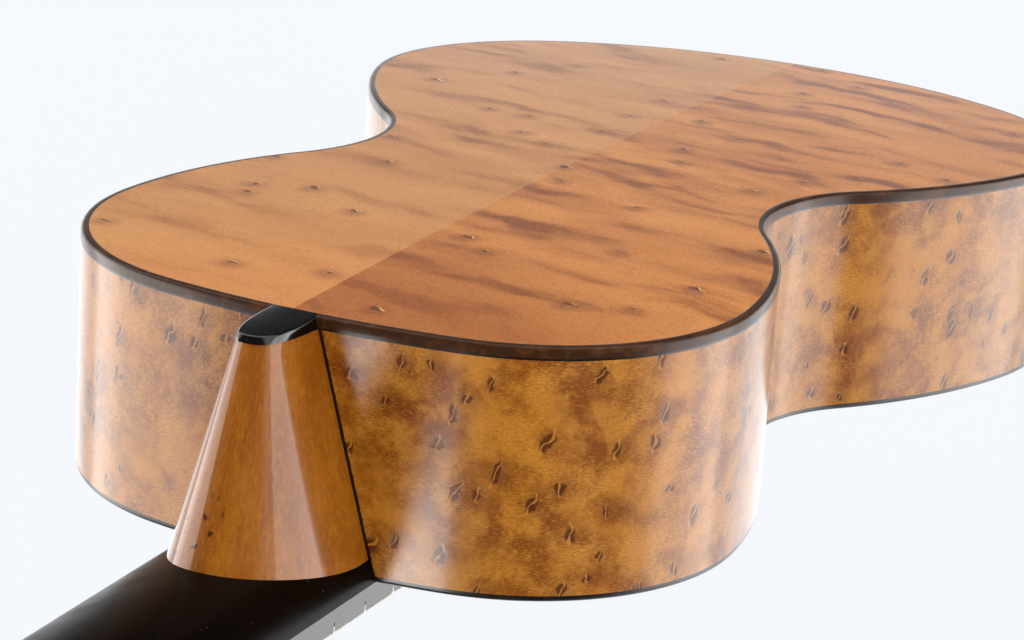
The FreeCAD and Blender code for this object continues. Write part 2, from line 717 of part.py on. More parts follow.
def saddle():
    """The bar under the strings, with a rounded crest."""
    half = SADDLE_THICK / 2
    shoulder = half - SADDLE_TOP
    crest = Part.Arc(V(0, shoulder, SADDLE_Z + half), V(0, -SADDLE_TOP, SADDLE_Z), V(0, shoulder, SADDLE_Z - half))
    foot = -SADDLE_SLOT_FLOOR
    corners = [(0, shoulder, SADDLE_Z - half), (0, foot, SADDLE_Z - half),
               (0, foot, SADDLE_Z + half), (0, shoulder, SADDLE_Z + half)]
    edges = [crest.toShape()] + [line_edge(a, b) for a, b in zip(corners, corners[1:])]
    bar = Part.Face(Part.Wire(edges)).extrude(V(SADDLE_LENGTH, 0, 0))
    bar.translate(V(-SADDLE_LENGTH / 2, 0, 0))
    return bar


def bridge_pin(number):
    """A pin that holds one string's end, with a domed head."""
    x = string_x(number, PIN_Z)
    foot = TOP_THICK + BRIDGE_PLATE_THICK + 3.0
    collar = V(x, -BRIDGE_HEIGHT, PIN_Z)
    head = Part.makeSphere(PIN_HEAD_RADIUS, collar, V(0, -1, 0), 0, 90, 360)
    return head.fuse(rod(PIN_RADIUS, (x, -BRIDGE_HEIGHT, PIN_Z), (x, foot, PIN_Z)))


# ---------------------------------------------------------------- head and tuners

def head_outline(low_y, high_y):
    """The head seen from the front, as a block between two heights in its own frame."""
    wide, narrow = HEAD_HALF_WIDTH, NUT_HALF_WIDTH
    half = [((narrow, 0), (narrow + 2.2, 10), (wide - 2.8, 20)),
            ((wide - 2.8, 20), (wide - 0.7, 22.6), (wide, 26)),
            ((wide, 26), (wide, 152)),
            ((wide, 152), (wide - 1.8, 157.5), (wide - 6.5, 161)),
            ((wide - 6.5, 161), (13, 164.3), (0, HEAD_LENGTH))]
    edges = []
    for sign, steps in ((1, half), (-1, [tuple(reversed(step)) for step in reversed(half)])):
        for step in steps:
            points = [V(sign * x, low_y, z) for x, z in step]
            edge = Part.Arc(*points) if len(points) == 3 else Part.LineSegment(*points)
            edges.append(edge.toShape())
    edges.append(line_edge((-narrow, low_y, 0), (narrow, low_y, 0)))
    return Part.Face(Part.Wire(edges)).extrude(V(0, high_y - low_y, 0))


def head_slots():
    """The two long openings, with round ends, that the strings go down into."""
    radius = (SLOT_OUTER - SLOT_INNER) / 2
    centre = (SLOT_OUTER + SLOT_INNER) / 2
    low, high = SLOT_SPAN[0] + radius, SLOT_SPAN[1] - radius
    slots = []
    for side in SIDES.values():
        x = side * centre
        ends = [rod(radius, (x, -10, z), (x, 30, z)) for z in (low, high)]
        slots.append(box((x - radius, -10, low), (x + radius, 30, high)).fuse(ends))
    return slots


def roller_holes():
    """The bores in the head's walls and web that the rollers turn in."""
    radius = ROLLER_RADIUS + ROLLER_FIT
    inner = ROLLER_INNER_X - ROLLER_FIT
    return [on_side(rod(radius, (inner, ROLLER_Y, spot), (60.0, ROLLER_Y, spot)), side)
            for side in SIDES.values() for spot in ROLLER_SPOTS]


def plate_screw(spot, side):
    """A round-headed screw that holds a tuner plate, with a slotted head."""
    y = sum(PLATE_SPAN_Y) / 2
    shank = rod(1.2, (HEAD_HALF_WIDTH - 8.0, y, spot), (PLATE_OUTER_X, y, spot))
    head = Part.makeSphere(2.6, V(PLATE_OUTER_X - 1.4, y, spot))
    head = head.common(box((PLATE_OUTER_X, -10, spot - 10), (60, 40, spot + 10)))
    slot = box((PLATE_OUTER_X + 0.7, y - 5, spot - 0.3), (60, y + 5, spot + 0.3))
    return head_to_row(on_side(shank.fuse(head).cut(slot), side))


def screw_holes():
    """The holes of the plate screws."""
    y = sum(PLATE_SPAN_Y) / 2
    return [on_side(rod(1.2, (HEAD_HALF_WIDTH - 8.0, y, spot), (PLATE_OUTER_X, y, spot)), side)
            for side in SIDES.values() for spot in PLATE_SCREW_SPOTS]


def headstock():
    """The slotted head, bored for the rollers and the plate screws."""
    block = head_outline(0.0, HEAD_THICK)
    return head_to_row(block.cut(head_slots() + roller_holes() + screw_holes()))


def headplate():
    """The thin facing on the front of the head."""
    return head_to_row(head_outline(-HEADPLATE_THICK, 0.0).cut(head_slots()))


def tuner_plate(side):
    """The side plate of the machine heads, with a pair of lugs for each worm shaft."""
    low = (HEAD_HALF_WIDTH, PLATE_SPAN_Y[0], PLATE_SPAN_Z[0])
    plate = box(low, (PLATE_OUTER_X, PLATE_SPAN_Y[1], PLATE_SPAN_Z[1]))
    corners = [edge for edge in plate.Edges if abs(edge.tangentAt(edge.FirstParameter).x) > 0.99]
    plate = plate.makeFillet(3.0, corners)
    lug_outer_x = GEAR_CENTRE_X + LUG_HALF_HEIGHT
    for spot in ROLLER_SPOTS:
        middle = spot + WORM_OFFSET
        for y in (LUG_FRONT_Y, LUG_BACK_Y):
            low = (PLATE_OUTER_X - 0.5, y, middle - LUG_HALF_HEIGHT)
            lug = box(low, (lug_outer_x, y + LUG_THICK, middle + LUG_HALF_HEIGHT))
            rounded = [edge for edge in lug.Edges if edge.Length < LUG_THICK + 0.01
                       and edge.BoundBox.XMin > lug_outer_x - 0.01]
            plate = plate.fuse(lug.makeFillet(1.8, rounded))
    bores = [rod(WORM_CORE_RADIUS + ROLLER_FIT, (GEAR_CENTRE_X, -5, spot + WORM_OFFSET),
                 (GEAR_CENTRE_X, 30, spot + WORM_OFFSET)) for spot in ROLLER_SPOTS]
    plate = on_side(plate.cut(bores), side)
    return head_to_row(plate.cut(roller_holes() + screw_holes()))


def worm():
    """The screw thread of a key, along Z, with its middle at the origin."""
    start = -(WORM_TURNS / 2 - 0.25) * WORM_PITCH
    path = Part.makeHelix(WORM_PITCH, WORM_TURNS * WORM_PITCH, WORM_CORE_RADIUS)
    root, tip = THREAD_ROOT_WIDTH / 2, THREAD_TIP_WIDTH / 2
    buried = WORM_CORE_RADIUS - 0.2
    points = [V(buried, 0, -root), V(WORM_OUTER_RADIUS, 0, -tip), V(WORM_OUTER_RADIUS, 0, tip), V(buried, 0, root)]
    thread = Part.Wire(path).makePipeShell([Part.makePolygon(points + points[:1])], True, True)
    thread.translate(V(0, 0, start))
    return thread


def key(side, spot):
    """A key: a shaft with a worm between the two lugs and a collar behind them."""
    shaft = rod(WORM_CORE_RADIUS, (0, 0, LUG_FRONT_Y - ROLLER_Y), (0, 0, KEY_END_Y - ROLLER_Y))
    collar_start = LUG_BACK_Y + LUG_THICK + LUG_GAP - ROLLER_Y
    collar = rod(2.5, (0, 0, collar_start), (0, 0, collar_start + 1.5))
    whole = shaft.fuse([collar, worm()])
    whole.rotate(V(0, 0, 0), V(1, 0, 0), -90)
    whole.translate(V(side * GEAR_CENTRE_X, ROLLER_Y, spot + WORM_OFFSET))
    return head_to_row(whole)


def button(side, spot):
    """The grip on the end of a key: a rounded tablet bored for the shaft."""
    x, z = side * GEAR_CENTRE_X, spot + WORM_OFFSET
    low = (x - BUTTON_WIDTH / 2, BUTTON_START_Y, z - BUTTON_THICK / 2)
    tablet = box(low, (x + BUTTON_WIDTH / 2, BUTTON_START_Y + BUTTON_LENGTH, z + BUTTON_THICK / 2))
    across = [edge for edge in tablet.Edges if abs(edge.tangentAt(edge.FirstParameter).z) > 0.99]
    tablet = tablet.makeFillet(5.5, across)
    tablet = tablet.makeFillet(2.6, tablet.Edges)
    return head_to_row(tablet.cut(rod(WORM_CORE_RADIUS, (x, 0, z), (x, KEY_END_Y, z))))


def gear():
    """The toothed wheel of a roller, in the YZ plane, with a gap facing +Z."""
    outer = GEAR_PITCH_RADIUS + 0.5
    root = GEAR_PITCH_RADIUS - 0.75
    pitch = 2 * math.pi / GEAR_TEETH
    points = []
    for tooth in range(GEAR_TEETH):
        middle = (tooth + 0.5) * pitch
        root_half = TOOTH_ROOT_WIDTH / 2 / root
        tip_half = TOOTH_TIP_WIDTH / 2 / outer
        for radius, angle in ((root, middle - root_half), (outer, middle - tip_half),
                              (outer, middle + tip_half), (root, middle + root_half)):
            points.append(V(0, radius * math.sin(angle), radius * math.cos(angle)))
    return Part.Face(Part.makePolygon(points + points[:1])).extrude(V(GEAR_THICK, 0, 0))


def roller(number):
    """A string roller with its gear and the screw that holds the gear on."""
    side, spot = roller_of(number)
    gear_low = GEAR_CENTRE_X - GEAR_THICK / 2
    gear_high = GEAR_CENTRE_X + GEAR_THICK / 2
    spigot = 1.5
    bar = rod(ROLLER_RADIUS, (ROLLER_INNER_X, 0, 0), (gear_low, 0, 0))
    bar = bar.fuse(rod(spigot, (gear_low, 0, 0), (gear_high, 0, 0)))
    hole_x = abs(roller_string_x(number))
    bar = bar.cut(rod(STRING_HOLE_RADIUS, (hole_x, -10, 0), (hole_x, 10, 0)))
    wheel = gear()
    wheel.translate(V(gear_low, 0, 0))
    wheel = wheel.cut(rod(spigot, (0, 0, 0), (60, 0, 0)))
    head = rod(2.4, (gear_high, 0, 0), (gear_high + 1.2, 0, 0))
    head = head.cut(box((gear_high + 0.6, -5, -0.3), (60, 5, 0.3)))
    whole = on_side(Part.makeCompound([bar, wheel, head]), side)
    whole.translate(V(0, ROLLER_Y, spot))
    return head_to_row(whole)


# ---------------------------------------------------------------- all sub-parts

def make_body():
    """The sound box: plates, sides, trim and everything glued inside."""
    head_block = end_block(HEAD_BLOCK_WIDTH, 0.0, HEAD_BLOCK_DEPTH)
    tail_block = end_block(TAIL_BLOCK_WIDTH, BODY_LENGTH - TAIL_BLOCK_DEPTH, BODY_LENGTH)
    blocks = [head_block, tail_block]
    top_lining, back_lining = linings(blocks)
    bars = back_braces()
    plate, board, wall = back_plate(), soundboard(), side_wall()
    for name, side in SIDES.items():
        save("back_" + name + "_half", one_side(plate, side, BACK_SEAM_X))
        save("soundboard_" + name + "_half", one_side(board, side))
        save("side_" + name, one_side(wall, side))
    save("tail_block", tail_block.cut(end_pin_hole()))
    save("head_block", head_block.cut([tenon(), heel_cap_blank(heel_cone())]))
    save("top_linings", top_lining)
    save("back_linings", back_lining)
    save("soundboard_braces", Part.makeCompound(top_braces()))
    save("back_braces", Part.makeCompound(bars))
    save("back_centre_strip", centre_strip(bars, blocks))
    save("bridge_plate", bridge_plate())
    save("rosette", Part.makeCompound(rosette_rings()))
    save("top_binding", hoop(0.0, SIDE_THICK, 0.0, TOP_BINDING_HEIGHT))
    save("end_graft", end_graft())
    save("end_pin", end_pin())


def make_neck():
    """The neck, heel and fingerboard, and the trim that the heel cap interrupts."""
    cone = heel_cone()
    cap = heel_cap_blank(cone)
    shaft = neck_shaft()
    save("back_binding", back_binding(cap))
    save("purfling", purfling(cap))
    save("neck_shaft", shaft)
    save("heel", heel(cone, shaft))
    save("heel_cap", cap)
    save("fingerboard", fingerboard())
    save("frets", Part.makeCompound([fret(n) for n in range(1, FRET_COUNT + 1)]))


def make_strings():
    """The strings and what they rest on."""
    save("nut", nut())
    save("bridge", bridge())
    save("saddle", saddle())
    save("bridge_pins", Part.makeCompound([bridge_pin(n) for n in range(1, 7)]))
    for number in range(1, 7):
        save("string_" + str(number), string(number))


def make_head():
    """The head with its tuning machines. Each machine has the number of its string."""
    save("headstock", headstock())
    save("headplate", headplate())
    screws = [plate_screw(spot, side) for side in SIDES.values() for spot in PLATE_SCREW_SPOTS]
    save("tuner_screws", Part.makeCompound(screws))
    for name, side in SIDES.items():
        save("tuner_plate_" + name, tuner_plate(side))
    for number in range(1, 7):
        side, spot = roller_of(number)
        save("key_" + str(number), key(side, spot))
        save("button_" + str(number), button(side, spot))
        save("roller_" + str(number), roller(number))


os.makedirs("parts", exist_ok=True)
make_body()
make_neck()
make_strings()
make_head()
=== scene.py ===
import math

import bmesh
import bpy
from mathutils import Matrix, Vector


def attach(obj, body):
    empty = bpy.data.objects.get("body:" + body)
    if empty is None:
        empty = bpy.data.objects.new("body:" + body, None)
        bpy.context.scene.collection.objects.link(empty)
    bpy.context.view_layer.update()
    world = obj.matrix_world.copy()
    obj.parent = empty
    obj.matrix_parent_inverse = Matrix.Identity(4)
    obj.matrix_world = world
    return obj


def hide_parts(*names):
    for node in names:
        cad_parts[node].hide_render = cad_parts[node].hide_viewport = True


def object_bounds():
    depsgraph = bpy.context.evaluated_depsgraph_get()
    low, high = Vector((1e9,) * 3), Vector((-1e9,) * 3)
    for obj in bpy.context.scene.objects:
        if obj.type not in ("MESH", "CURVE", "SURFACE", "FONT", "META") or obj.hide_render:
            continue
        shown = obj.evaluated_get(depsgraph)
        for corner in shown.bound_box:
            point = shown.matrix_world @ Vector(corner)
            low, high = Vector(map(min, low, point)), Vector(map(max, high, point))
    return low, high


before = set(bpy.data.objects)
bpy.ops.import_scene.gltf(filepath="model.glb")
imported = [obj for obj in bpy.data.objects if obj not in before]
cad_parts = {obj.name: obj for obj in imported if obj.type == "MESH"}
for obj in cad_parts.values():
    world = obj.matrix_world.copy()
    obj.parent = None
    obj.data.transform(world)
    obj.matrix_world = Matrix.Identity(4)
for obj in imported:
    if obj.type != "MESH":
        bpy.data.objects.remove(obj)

# The looks of a small-bodied acoustic guitar with a figured maple body. Lengths are in millimetres until a
# mesh is made. Depth is measured down the body from the neck joint, towards the tail.

MM = 0.001

# The exponent of a rounded form: this one gives an ellipse, and a higher one is squarer.
ELLIPSE = 2.0

# Body
OUTLINE_ARCS = [(273.7, 10.4), (78.3, 81.3), (159.7, 30.4), (-64.4, -73.6), (199.5, 25.4), (95.9, 72.7),
                (165.1, 25.0)]
JOINT_Z = -323.6
BACK_CREST = 82.6
CREST_DEPTH = 187.0
DOME_RADIUS = 7235.0
PLATE_THICK = 2.4
SIDE_THICK = 2.0
PLATE_INSET = 2.6
PLATE_END = 4.5
BACK_SEAM_X = -3.0
BAND_HEIGHT = 3.4
FRONT_BAND_HEIGHT = 2.1
LINE_WIDTH = 0.6
BAND_ROUNDING = 1.2
RIM_STEP = 2.0
SIDE_START = 7.0
GRAFT_HALF_WIDTH = 6.0

# Heel and neck
HEEL_LOW_Y = 5.0
HEEL_FOOT = (29.1, 60.0)
HEEL_TOP = (7.3, 24.5)
HEEL_TOP_SHIFT = -2.2
HEEL_TOP_SQUARER = 0.8
HEEL_INTO_SIDES = 2.5
HEEL_ABOVE_CREST = 3.0
HEEL_GRAIN_WIDTH = 60.0
CAP_AT_BODY = 4.0
CAP_AT_FRONT = 2.3
CAP_OVER_RIM = 7.9
CAP_ROUNDING = 0.9
CAP_SIDE_ROUNDING = 0.35
NECK_INTO_BODY = 1.5
NECK_FLAT = 1.3
NECK_DEPTHS = (14.4, 13.6, 16.4)
SWELL_SPAN = (-36.0, 8.0)
SWELL_SQUARER = 2.0
NUT_HALF_WIDTH = 24.0
JOINT_HALF_WIDTH = 29.4
OCTAVE_Z = -320.0
HEAD_TILT = math.radians(13.0)
HEAD_START_Z = 5.0

# Strings on their rollers
STRING_DIAMETERS = [0.71, 0.81, 1.02, 0.74, 0.89, 1.09]
ROLLER_RADIUS = 3.5
ROLLER_Y = 9.0
ROLLER_SPOTS = [55.0, 90.0, 125.0]
ROLLER_STRING_X = [17.5, 14.5, 11.5]
WINDING_TURNS = 4
WINDING_PITCH = 2.15
WINDING_CLEARANCE = 0.02

# Soundboard
ANNUAL_LINES_PER_METRE = 640.0
SOUNDHOLE_Z = -473.0
ROSETTE_RADIUS = 50.0
MOSAIC_HALF_WIDTH = 2.2
MOSAIC_PER_RADIAN = 34.0
MOSAIC_PER_METRE = 680.0

# Camera
CAMERA_PLACE = (0.3855, 0.3379, 0.3987)
CAMERA_YAW = math.radians(23.647)
CAMERA_PITCH = math.radians(17.375)
CAMERA_ROLL = math.radians(4.016)
CAMERA_LENS = 101.64
SENSOR_WIDTH = 36.0

# Studio
FLOOR_GAP = 0.4
FLOOR_RADIUS = 40.0
FLOOR_GLOW = 0.86
STUDIO_PALE = 0.95
STUDIO_DARK = 0.06
SWEEP_BRIGHT = 1.6
SWEEP_EDGE = (0.05, 0.29)
BELOW_EDGE = (-0.35, -0.55)
ABOVE_EDGE = (0.0, 0.2)


# ---------------------------------------------------------------- shapes of the body

def mix(a, b, share):
    """The value between a and b."""
    return a + (b - a) * share


def rim_arcs():
    """The half outline's arcs, with the distance, place and heading where each starts, and its length."""
    arcs = []
    distance, across, depth, heading = 0.0, 0.0, 0.0, 0.0
    for radius, turn in OUTLINE_ARCS + [(None, None)]:
        if radius is None:
            radius = across / math.sin(heading)
            turn = 180.0 - math.degrees(heading)
        arcs.append((radius, distance, across, depth, heading))
        end = heading + math.radians(turn)
        distance += radius * (end - heading)
        across += radius * (math.sin(end) - math.sin(heading))
        depth += radius * (math.cos(heading) - math.cos(end))
        heading = end
    return arcs, distance


ARCS, RIM_LENGTH = rim_arcs()


def rim_place(distance, inset):
    """A point of the half outline, moved inwards by inset, as across and depth."""
    radius, start, across, depth, heading = [arc for arc in ARCS if arc[1] <= distance][-1]
    angle = heading + (distance - start) / radius
    across += radius * (math.sin(angle) - math.sin(heading)) - inset * math.sin(angle)
    depth += radius * (math.cos(heading) - math.cos(angle)) + inset * math.cos(angle)
    return across, depth


def dome_y(across, depth):
    """The height of the arched back over a place of the body."""
    drop = DOME_RADIUS ** 2 - across ** 2 - (depth - CREST_DEPTH) ** 2
    return BACK_CREST - DOME_RADIUS + math.sqrt(drop)


def rim_distances(first, last):
    """Even steps along the rim between two distances."""
    count = round((last - first) / RIM_STEP)
    return [first + (last - first) * i / count for i in range(count + 1)]


def under_back(distance, inset, below):
    """A point of the rim at a distance below the arched back."""
    across, depth = rim_place(distance, inset)
    return across, dome_y(across, depth) - below, JOINT_Z - depth


def at_height(distance, inset, height):
    """A point of the rim at a height above the soundboard's face."""
    across, depth = rim_place(distance, inset)
    return across, height, JOINT_Z - depth


def rounded_corner(radius, steps=4):
    """Points of a quarter circle, from the outer wall to the top face, as (inset, below) pairs."""
    angles = [math.pi / 2 * i / steps for i in range(steps + 1)]
    return [(radius * (1 - math.cos(a)), radius * (1 - math.sin(a))) for a in angles]


# ---------------------------------------------------------------- meshes

def mirrored(rings):
    """The same rings on the bass side."""
    return [[(-x, y, z) for x, y, z in ring] for ring in rings]


def skin(strips):
    """Points and faces of closed tubes, each given as a list of rings."""
    points, faces = [], []
    for rings in strips:
        first = len(points)
        count = len(rings[0])
        points += [point for ring in rings for point in ring]
        for r in range(len(rings) - 1):
            low = first + r * count
            for c in range(count):
                after = (c + 1) % count
                faces.append((low + c, low + after, low + count + after, low + count + c))
        faces.append(tuple(range(first, first + count)))
        faces.append(tuple(range(len(points) - count, len(points))))
    return points, faces


def make_piece(name, strips, material, nodes=(), body="root", grain=None, sharp=38.0):
    """A smooth mesh piece that rides on a body and stands for CAD nodes. Grain holds each point's UV."""
    points, faces = skin(strips)
    mesh = bpy.data.meshes.new(name)
    mesh.from_pydata([Vector(p) * MM for p in points], [], faces)
    if grain:
        flat = [value * MM for strip in grain for ring in strip for uv in ring for value in uv]
        layer = mesh.uv_layers.new(name="grain")
        for loop in mesh.loops:
            layer.data[loop.index].uv = flat[2 * loop.vertex_index:2 * loop.vertex_index + 2]
    edit = bmesh.new()
    edit.from_mesh(mesh)
    bmesh.ops.recalc_face_normals(edit, faces=edit.faces)
    edit.to_mesh(mesh)
    edit.free()
    mesh.shade_smooth()
    mesh.set_sharp_from_angle(angle=math.radians(sharp))
    mesh.materials.append(material)
    piece = bpy.data.objects.new(name, mesh)
    bpy.context.scene.collection.objects.link(piece)
    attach(piece, body)
    if nodes:
        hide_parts(*nodes)


def make_back(materials):
    """The two halves of the arched back, which meet a little to the bass side of the middle."""
    columns = 24
    for name, side in (("treble", 1), ("bass", -1)):
        rings = []
        for distance in rim_distances(PLATE_END, RIM_LENGTH - PLATE_END):
            edge, depth = rim_place(distance, PLATE_INSET)
            top = []
            for column in range(columns + 1):
                across = mix(BACK_SEAM_X, side * edge, column / columns)
                top.append((across, dome_y(across, depth), JOINT_Z - depth))
            rings.append(top + [(x, y - PLATE_THICK, z) for x, y, z in reversed(top)])
        make_piece("back_plate_" + name, [rings], materials[name], ["back_" + name + "_half"])


def make_sides(material):
    """The bent sides, with the distance along the rim and the height as the grain's directions."""
    rings, grain = [], []
    steps = 6
    hidden = BAND_HEIGHT + LINE_WIDTH
    for distance in rim_distances(SIDE_START, RIM_LENGTH - GRAFT_HALF_WIDTH):
        outer_top = under_back(distance, 0.0, hidden)
        heights = [mix(FRONT_BAND_HEIGHT, outer_top[1], i / steps) for i in range(steps + 1)]
        outer = [at_height(distance, 0.0, height) for height in heights]
        inner = [at_height(distance, SIDE_THICK, height) for height in reversed(heights)]
        rings.append(outer + inner)
        grain.append([(distance, y) for _, y, _ in outer + inner])
    make_piece("rim_treble", [rings], material, ["side_treble"], grain=[grain])
    other = [[(-u, v) for u, v in ring] for ring in grain]
    make_piece("rim_bass", [mirrored(rings)], material, ["side_bass"], grain=[other])


def square_profile(inset_a, inset_b, below_a, below_b):
    """The four corners of a thin strip's section."""
    return [(inset_a, below_a), (inset_b, below_a), (inset_b, below_b), (inset_a, below_b)]


def past_cap(side):
    """How far along the rim, on one side, the heel cap reaches."""
    return CAP_OVER_RIM + side * HEEL_TOP_SHIFT


def back_strip(profile):
    """A strip of a given section along the edge of the back, on both sides of the cap."""
    strips = []
    for side in (1, -1):
        distances = rim_distances(past_cap(side), RIM_LENGTH)
        rings = [[under_back(d, inset, below) for inset, below in profile] for d in distances]
        strips.append(rings if side > 0 else mirrored(rings))
    return strips


def front_strip(profile):
    """A strip of a given section along the edge of the soundboard."""
    distances = rim_distances(0.0, RIM_LENGTH)
    rings = [[at_height(d, inset, height) for inset, height in profile] for d in distances]
    return [rings, mirrored(rings)]


def rounded_band(height):
    """The section of a band with a rounded outer corner."""
    return [(0.0, height)] + rounded_corner(BAND_ROUNDING) + [(SIDE_THICK, 0.0), (SIDE_THICK, height)]


def make_bands(band, front_band, line):
    """The rounded bands around both plates and the thin lines beside them."""
    make_piece("back_band", back_strip(rounded_band(BAND_HEIGHT)), band, ["back_binding"])
    make_piece("front_band", front_strip(rounded_band(FRONT_BAND_HEIGHT)), front_band,
               ["top_binding"])
    inside_band = square_profile(SIDE_THICK, PLATE_INSET, 0.0, PLATE_THICK)
    under_band = square_profile(0.0, SIDE_THICK, BAND_HEIGHT, BAND_HEIGHT + LINE_WIDTH)
    strips = back_strip(inside_band) + back_strip(under_band) + front_strip(inside_band)
    make_piece("edge_lines", strips, line, ["purfling"])


# ---------------------------------------------------------------- heel and neck

def rounded_half(half_width, length, exponent, count):
    """Points of half a rounded form, from +half_width round to -half_width, length proud."""
    points = []
    for i in range(count):
        angle = math.pi * i / (count - 1)
        across, along = math.cos(angle), abs(math.sin(angle))
        points.append((math.copysign(half_width * abs(across) ** (2 / exponent), across),
                       length * along ** (2 / exponent)))
    return points


def heel_outline(y, count, shrink=0.0):
    """The heel's rounded front at a height above the soundboard's face."""
    share = y / BACK_CREST
    half_width = mix(HEEL_FOOT[0], HEEL_TOP[0], share) - shrink
    length = mix(HEEL_FOOT[1], HEEL_TOP[1], share) - shrink
    outline = rounded_half(half_width, length, ELLIPSE + HEEL_TOP_SQUARER * share, count)
    return [(x + HEEL_TOP_SHIFT * share, along) for x, along in outline]


def cap_thickness(along):
    """The thickness of the heel cap at a distance from the body."""
    start = dome_y(0.0, 0.0) - CAP_AT_BODY
    end = dome_y(0.0, -HEEL_TOP[1]) - CAP_AT_FRONT
    seat = mix(start, end, max(along, 0.0) / HEEL_TOP[1])
    return dome_y(0.0, -along) - seat


def neck_half_width(z):
    """Half the width of the neck, which widens evenly from the nut."""
    return NUT_HALF_WIDTH + (JOINT_HALF_WIDTH - NUT_HALF_WIDTH) * min(z, 0.0) / OCTAVE_Z


def neck_shape(z):
    """Half width, depth and squareness of the neck at a place along it."""
    joint, nut, head = NECK_DEPTHS
    share = min(max((z - SWELL_SPAN[0]) / (SWELL_SPAN[1] - SWELL_SPAN[0]), 0.0), 1.0)
    ease = share ** 2 * (3 - 2 * share)
    run = min(max((z - JOINT_Z) / (SWELL_SPAN[0] - JOINT_Z), 0.0), 1.0)
    return neck_half_width(z), mix(mix(joint, nut, run), head, ease), ELLIPSE + SWELL_SQUARER * ease


def neck_back(x, z):
    """The height of the neck's round back over a place."""
    half_width, depth, _ = neck_shape(z)
    return NECK_FLAT + depth * math.sqrt(max(0.0, 1 - (x / half_width) ** 2))


def heel_column(index, count):
    """The straight line of the heel's cone through one point of its front, from low to high."""
    ends = []
    for y in (HEEL_LOW_Y, BACK_CREST + HEEL_ABOVE_CREST):
        across, along = heel_outline(y, count)[index]
        ends.append(Vector((across, y, JOINT_Z + along)))
    return ends


def share_where(line, above):
    """How far along a line it first gets above a surface."""
    start, end = line
    low, high = 0.0, 1.0
    halvings = 24
    for _ in range(halvings):
        middle = (low + high) / 2
        if above(start.lerp(end, middle)):
            high = middle
        else:
            low = middle
    return high


def cap_underside(x, z):
    """The height of the heel cap's seat over a place."""
    return dome_y(x, JOINT_Z - z) - cap_thickness(z - JOINT_Z)


def make_heel(material):
    """The cone heel, seated on the neck and ending under its cap."""
    count, levels = 49, 24
    columns = [heel_column(i, count) for i in range(count)]
    ends = []
    for line in columns:
        foot = share_where(line, lambda p: p.y > neck_back(p.x, p.z))
        top = share_where(line, lambda p: p.y > cap_underside(p.x, p.z))
        ends.append((foot, top))
    rings, grain = [], []
    for level in range(levels + 1):
        front = []
        for (low, high), end in zip(columns, ends):
            front.append(tuple(low.lerp(high, mix(*end, level / levels))))
        closing = [(x, y, JOINT_Z - HEEL_INTO_SIDES) for x, y, _ in (front[-1], front[0])]
        rings.append(front + closing)
        across = [HEEL_GRAIN_WIDTH * (i / (count - 1) - 0.5) for i in range(count)]
        across += [HEEL_GRAIN_WIDTH / 2, -HEEL_GRAIN_WIDTH / 2]
        grain.append([(u, point[1]) for u, point in zip(across, front + closing)])
    make_piece("heel_body", [rings], material, ["heel"], grain=[grain])


def make_heel_cap(material):
    """The glossy cap, with a rounded edge, that reaches over the rim to the back."""
    count = 41
    corner = rounded_corner(CAP_ROUNDING)
    profile = [(0.0, 1.0, 0.0), (0.0, 0.5, 0.0)] + [(inset, 0.0, below) for inset, below in corner]
    back_z = JOINT_Z - PLATE_INSET
    rings = []
    for shrink, share, below in profile:
        level = dome_y(0.0, -HEEL_TOP[1] / 2) - below - share * cap_thickness(HEEL_TOP[1] / 2)
        front = [(x, JOINT_Z + along) for x, along in heel_outline(level, count, shrink)]
        reach = CAP_OVER_RIM - CAP_SIDE_ROUNDING * shrink
        plan = [(HEEL_TOP_SHIFT + reach, back_z)] + front + [(HEEL_TOP_SHIFT - reach, back_z)]
        ring = []
        for x, z in plan:
            ring.append((x, dome_y(x, JOINT_Z - z) - below - share * cap_thickness(z - JOINT_Z), z))
        rings.append(ring)
    make_piece("heel_cap_top", [rings], material, ["heel_cap"], sharp=60.0)


def make_neck(material):
    """The handle of the neck, from the body to the slanted end of the head."""
    count, levels = 41, 90
    start = JOINT_Z - NECK_INTO_BODY
    rings = []
    for level in range(levels + 1):
        share = level / levels
        ring = []
        z = mix(start, HEAD_START_Z, share)
        half_width, depth, exponent = neck_shape(z)
        back = [(x, NECK_FLAT + y) for x, y in rounded_half(half_width, depth, exponent, count)]
        for x, y in [(half_width, 0.0)] + back + [(-half_width, 0.0)]:
            ring.append((x, y, z - share * y * math.tan(HEAD_TILT)))
        rings.append(ring)
    make_piece("neck_handle", [rings], material, ["neck_shaft"], sharp=50.0)


def head_to_row(x, y, z):
    """A point of the head's own frame, in the guitar's frame."""
    turned_y = y * math.cos(HEAD_TILT) + z * math.sin(HEAD_TILT)
    turned_z = z * math.cos(HEAD_TILT) - y * math.sin(HEAD_TILT)
    return x, turned_y, turned_z + HEAD_START_Z


def winding(number):
    """The turns of a string on its roller, as rings of a thin tube."""
    side = 1 if number <= 3 else -1
    spot = number - 1 if side > 0 else 6 - number
    radius = STRING_DIAMETERS[number - 1] / 2
    reach = ROLLER_RADIUS + radius + WINDING_CLEARANCE
    middle = side * ROLLER_STRING_X[spot]
    steps_per_turn, around = 28, 8
    rings = []
    for step in range(WINDING_TURNS * steps_per_turn + 1):
        turned = 2 * math.pi * step / steps_per_turn
        x = middle - side * (step / steps_per_turn * WINDING_PITCH * radius)
        out = Vector((0.0, math.cos(turned), math.sin(turned)))
        ring = []
        for corner in range(around):
            angle = 2 * math.pi * corner / around
            place = out * (reach + radius * math.cos(angle))
            along = x + radius * math.sin(angle)
            ring.append(head_to_row(along, ROLLER_Y + place.y, ROLLER_SPOTS[spot] + place.z))
        rings.append(ring)
    return rings


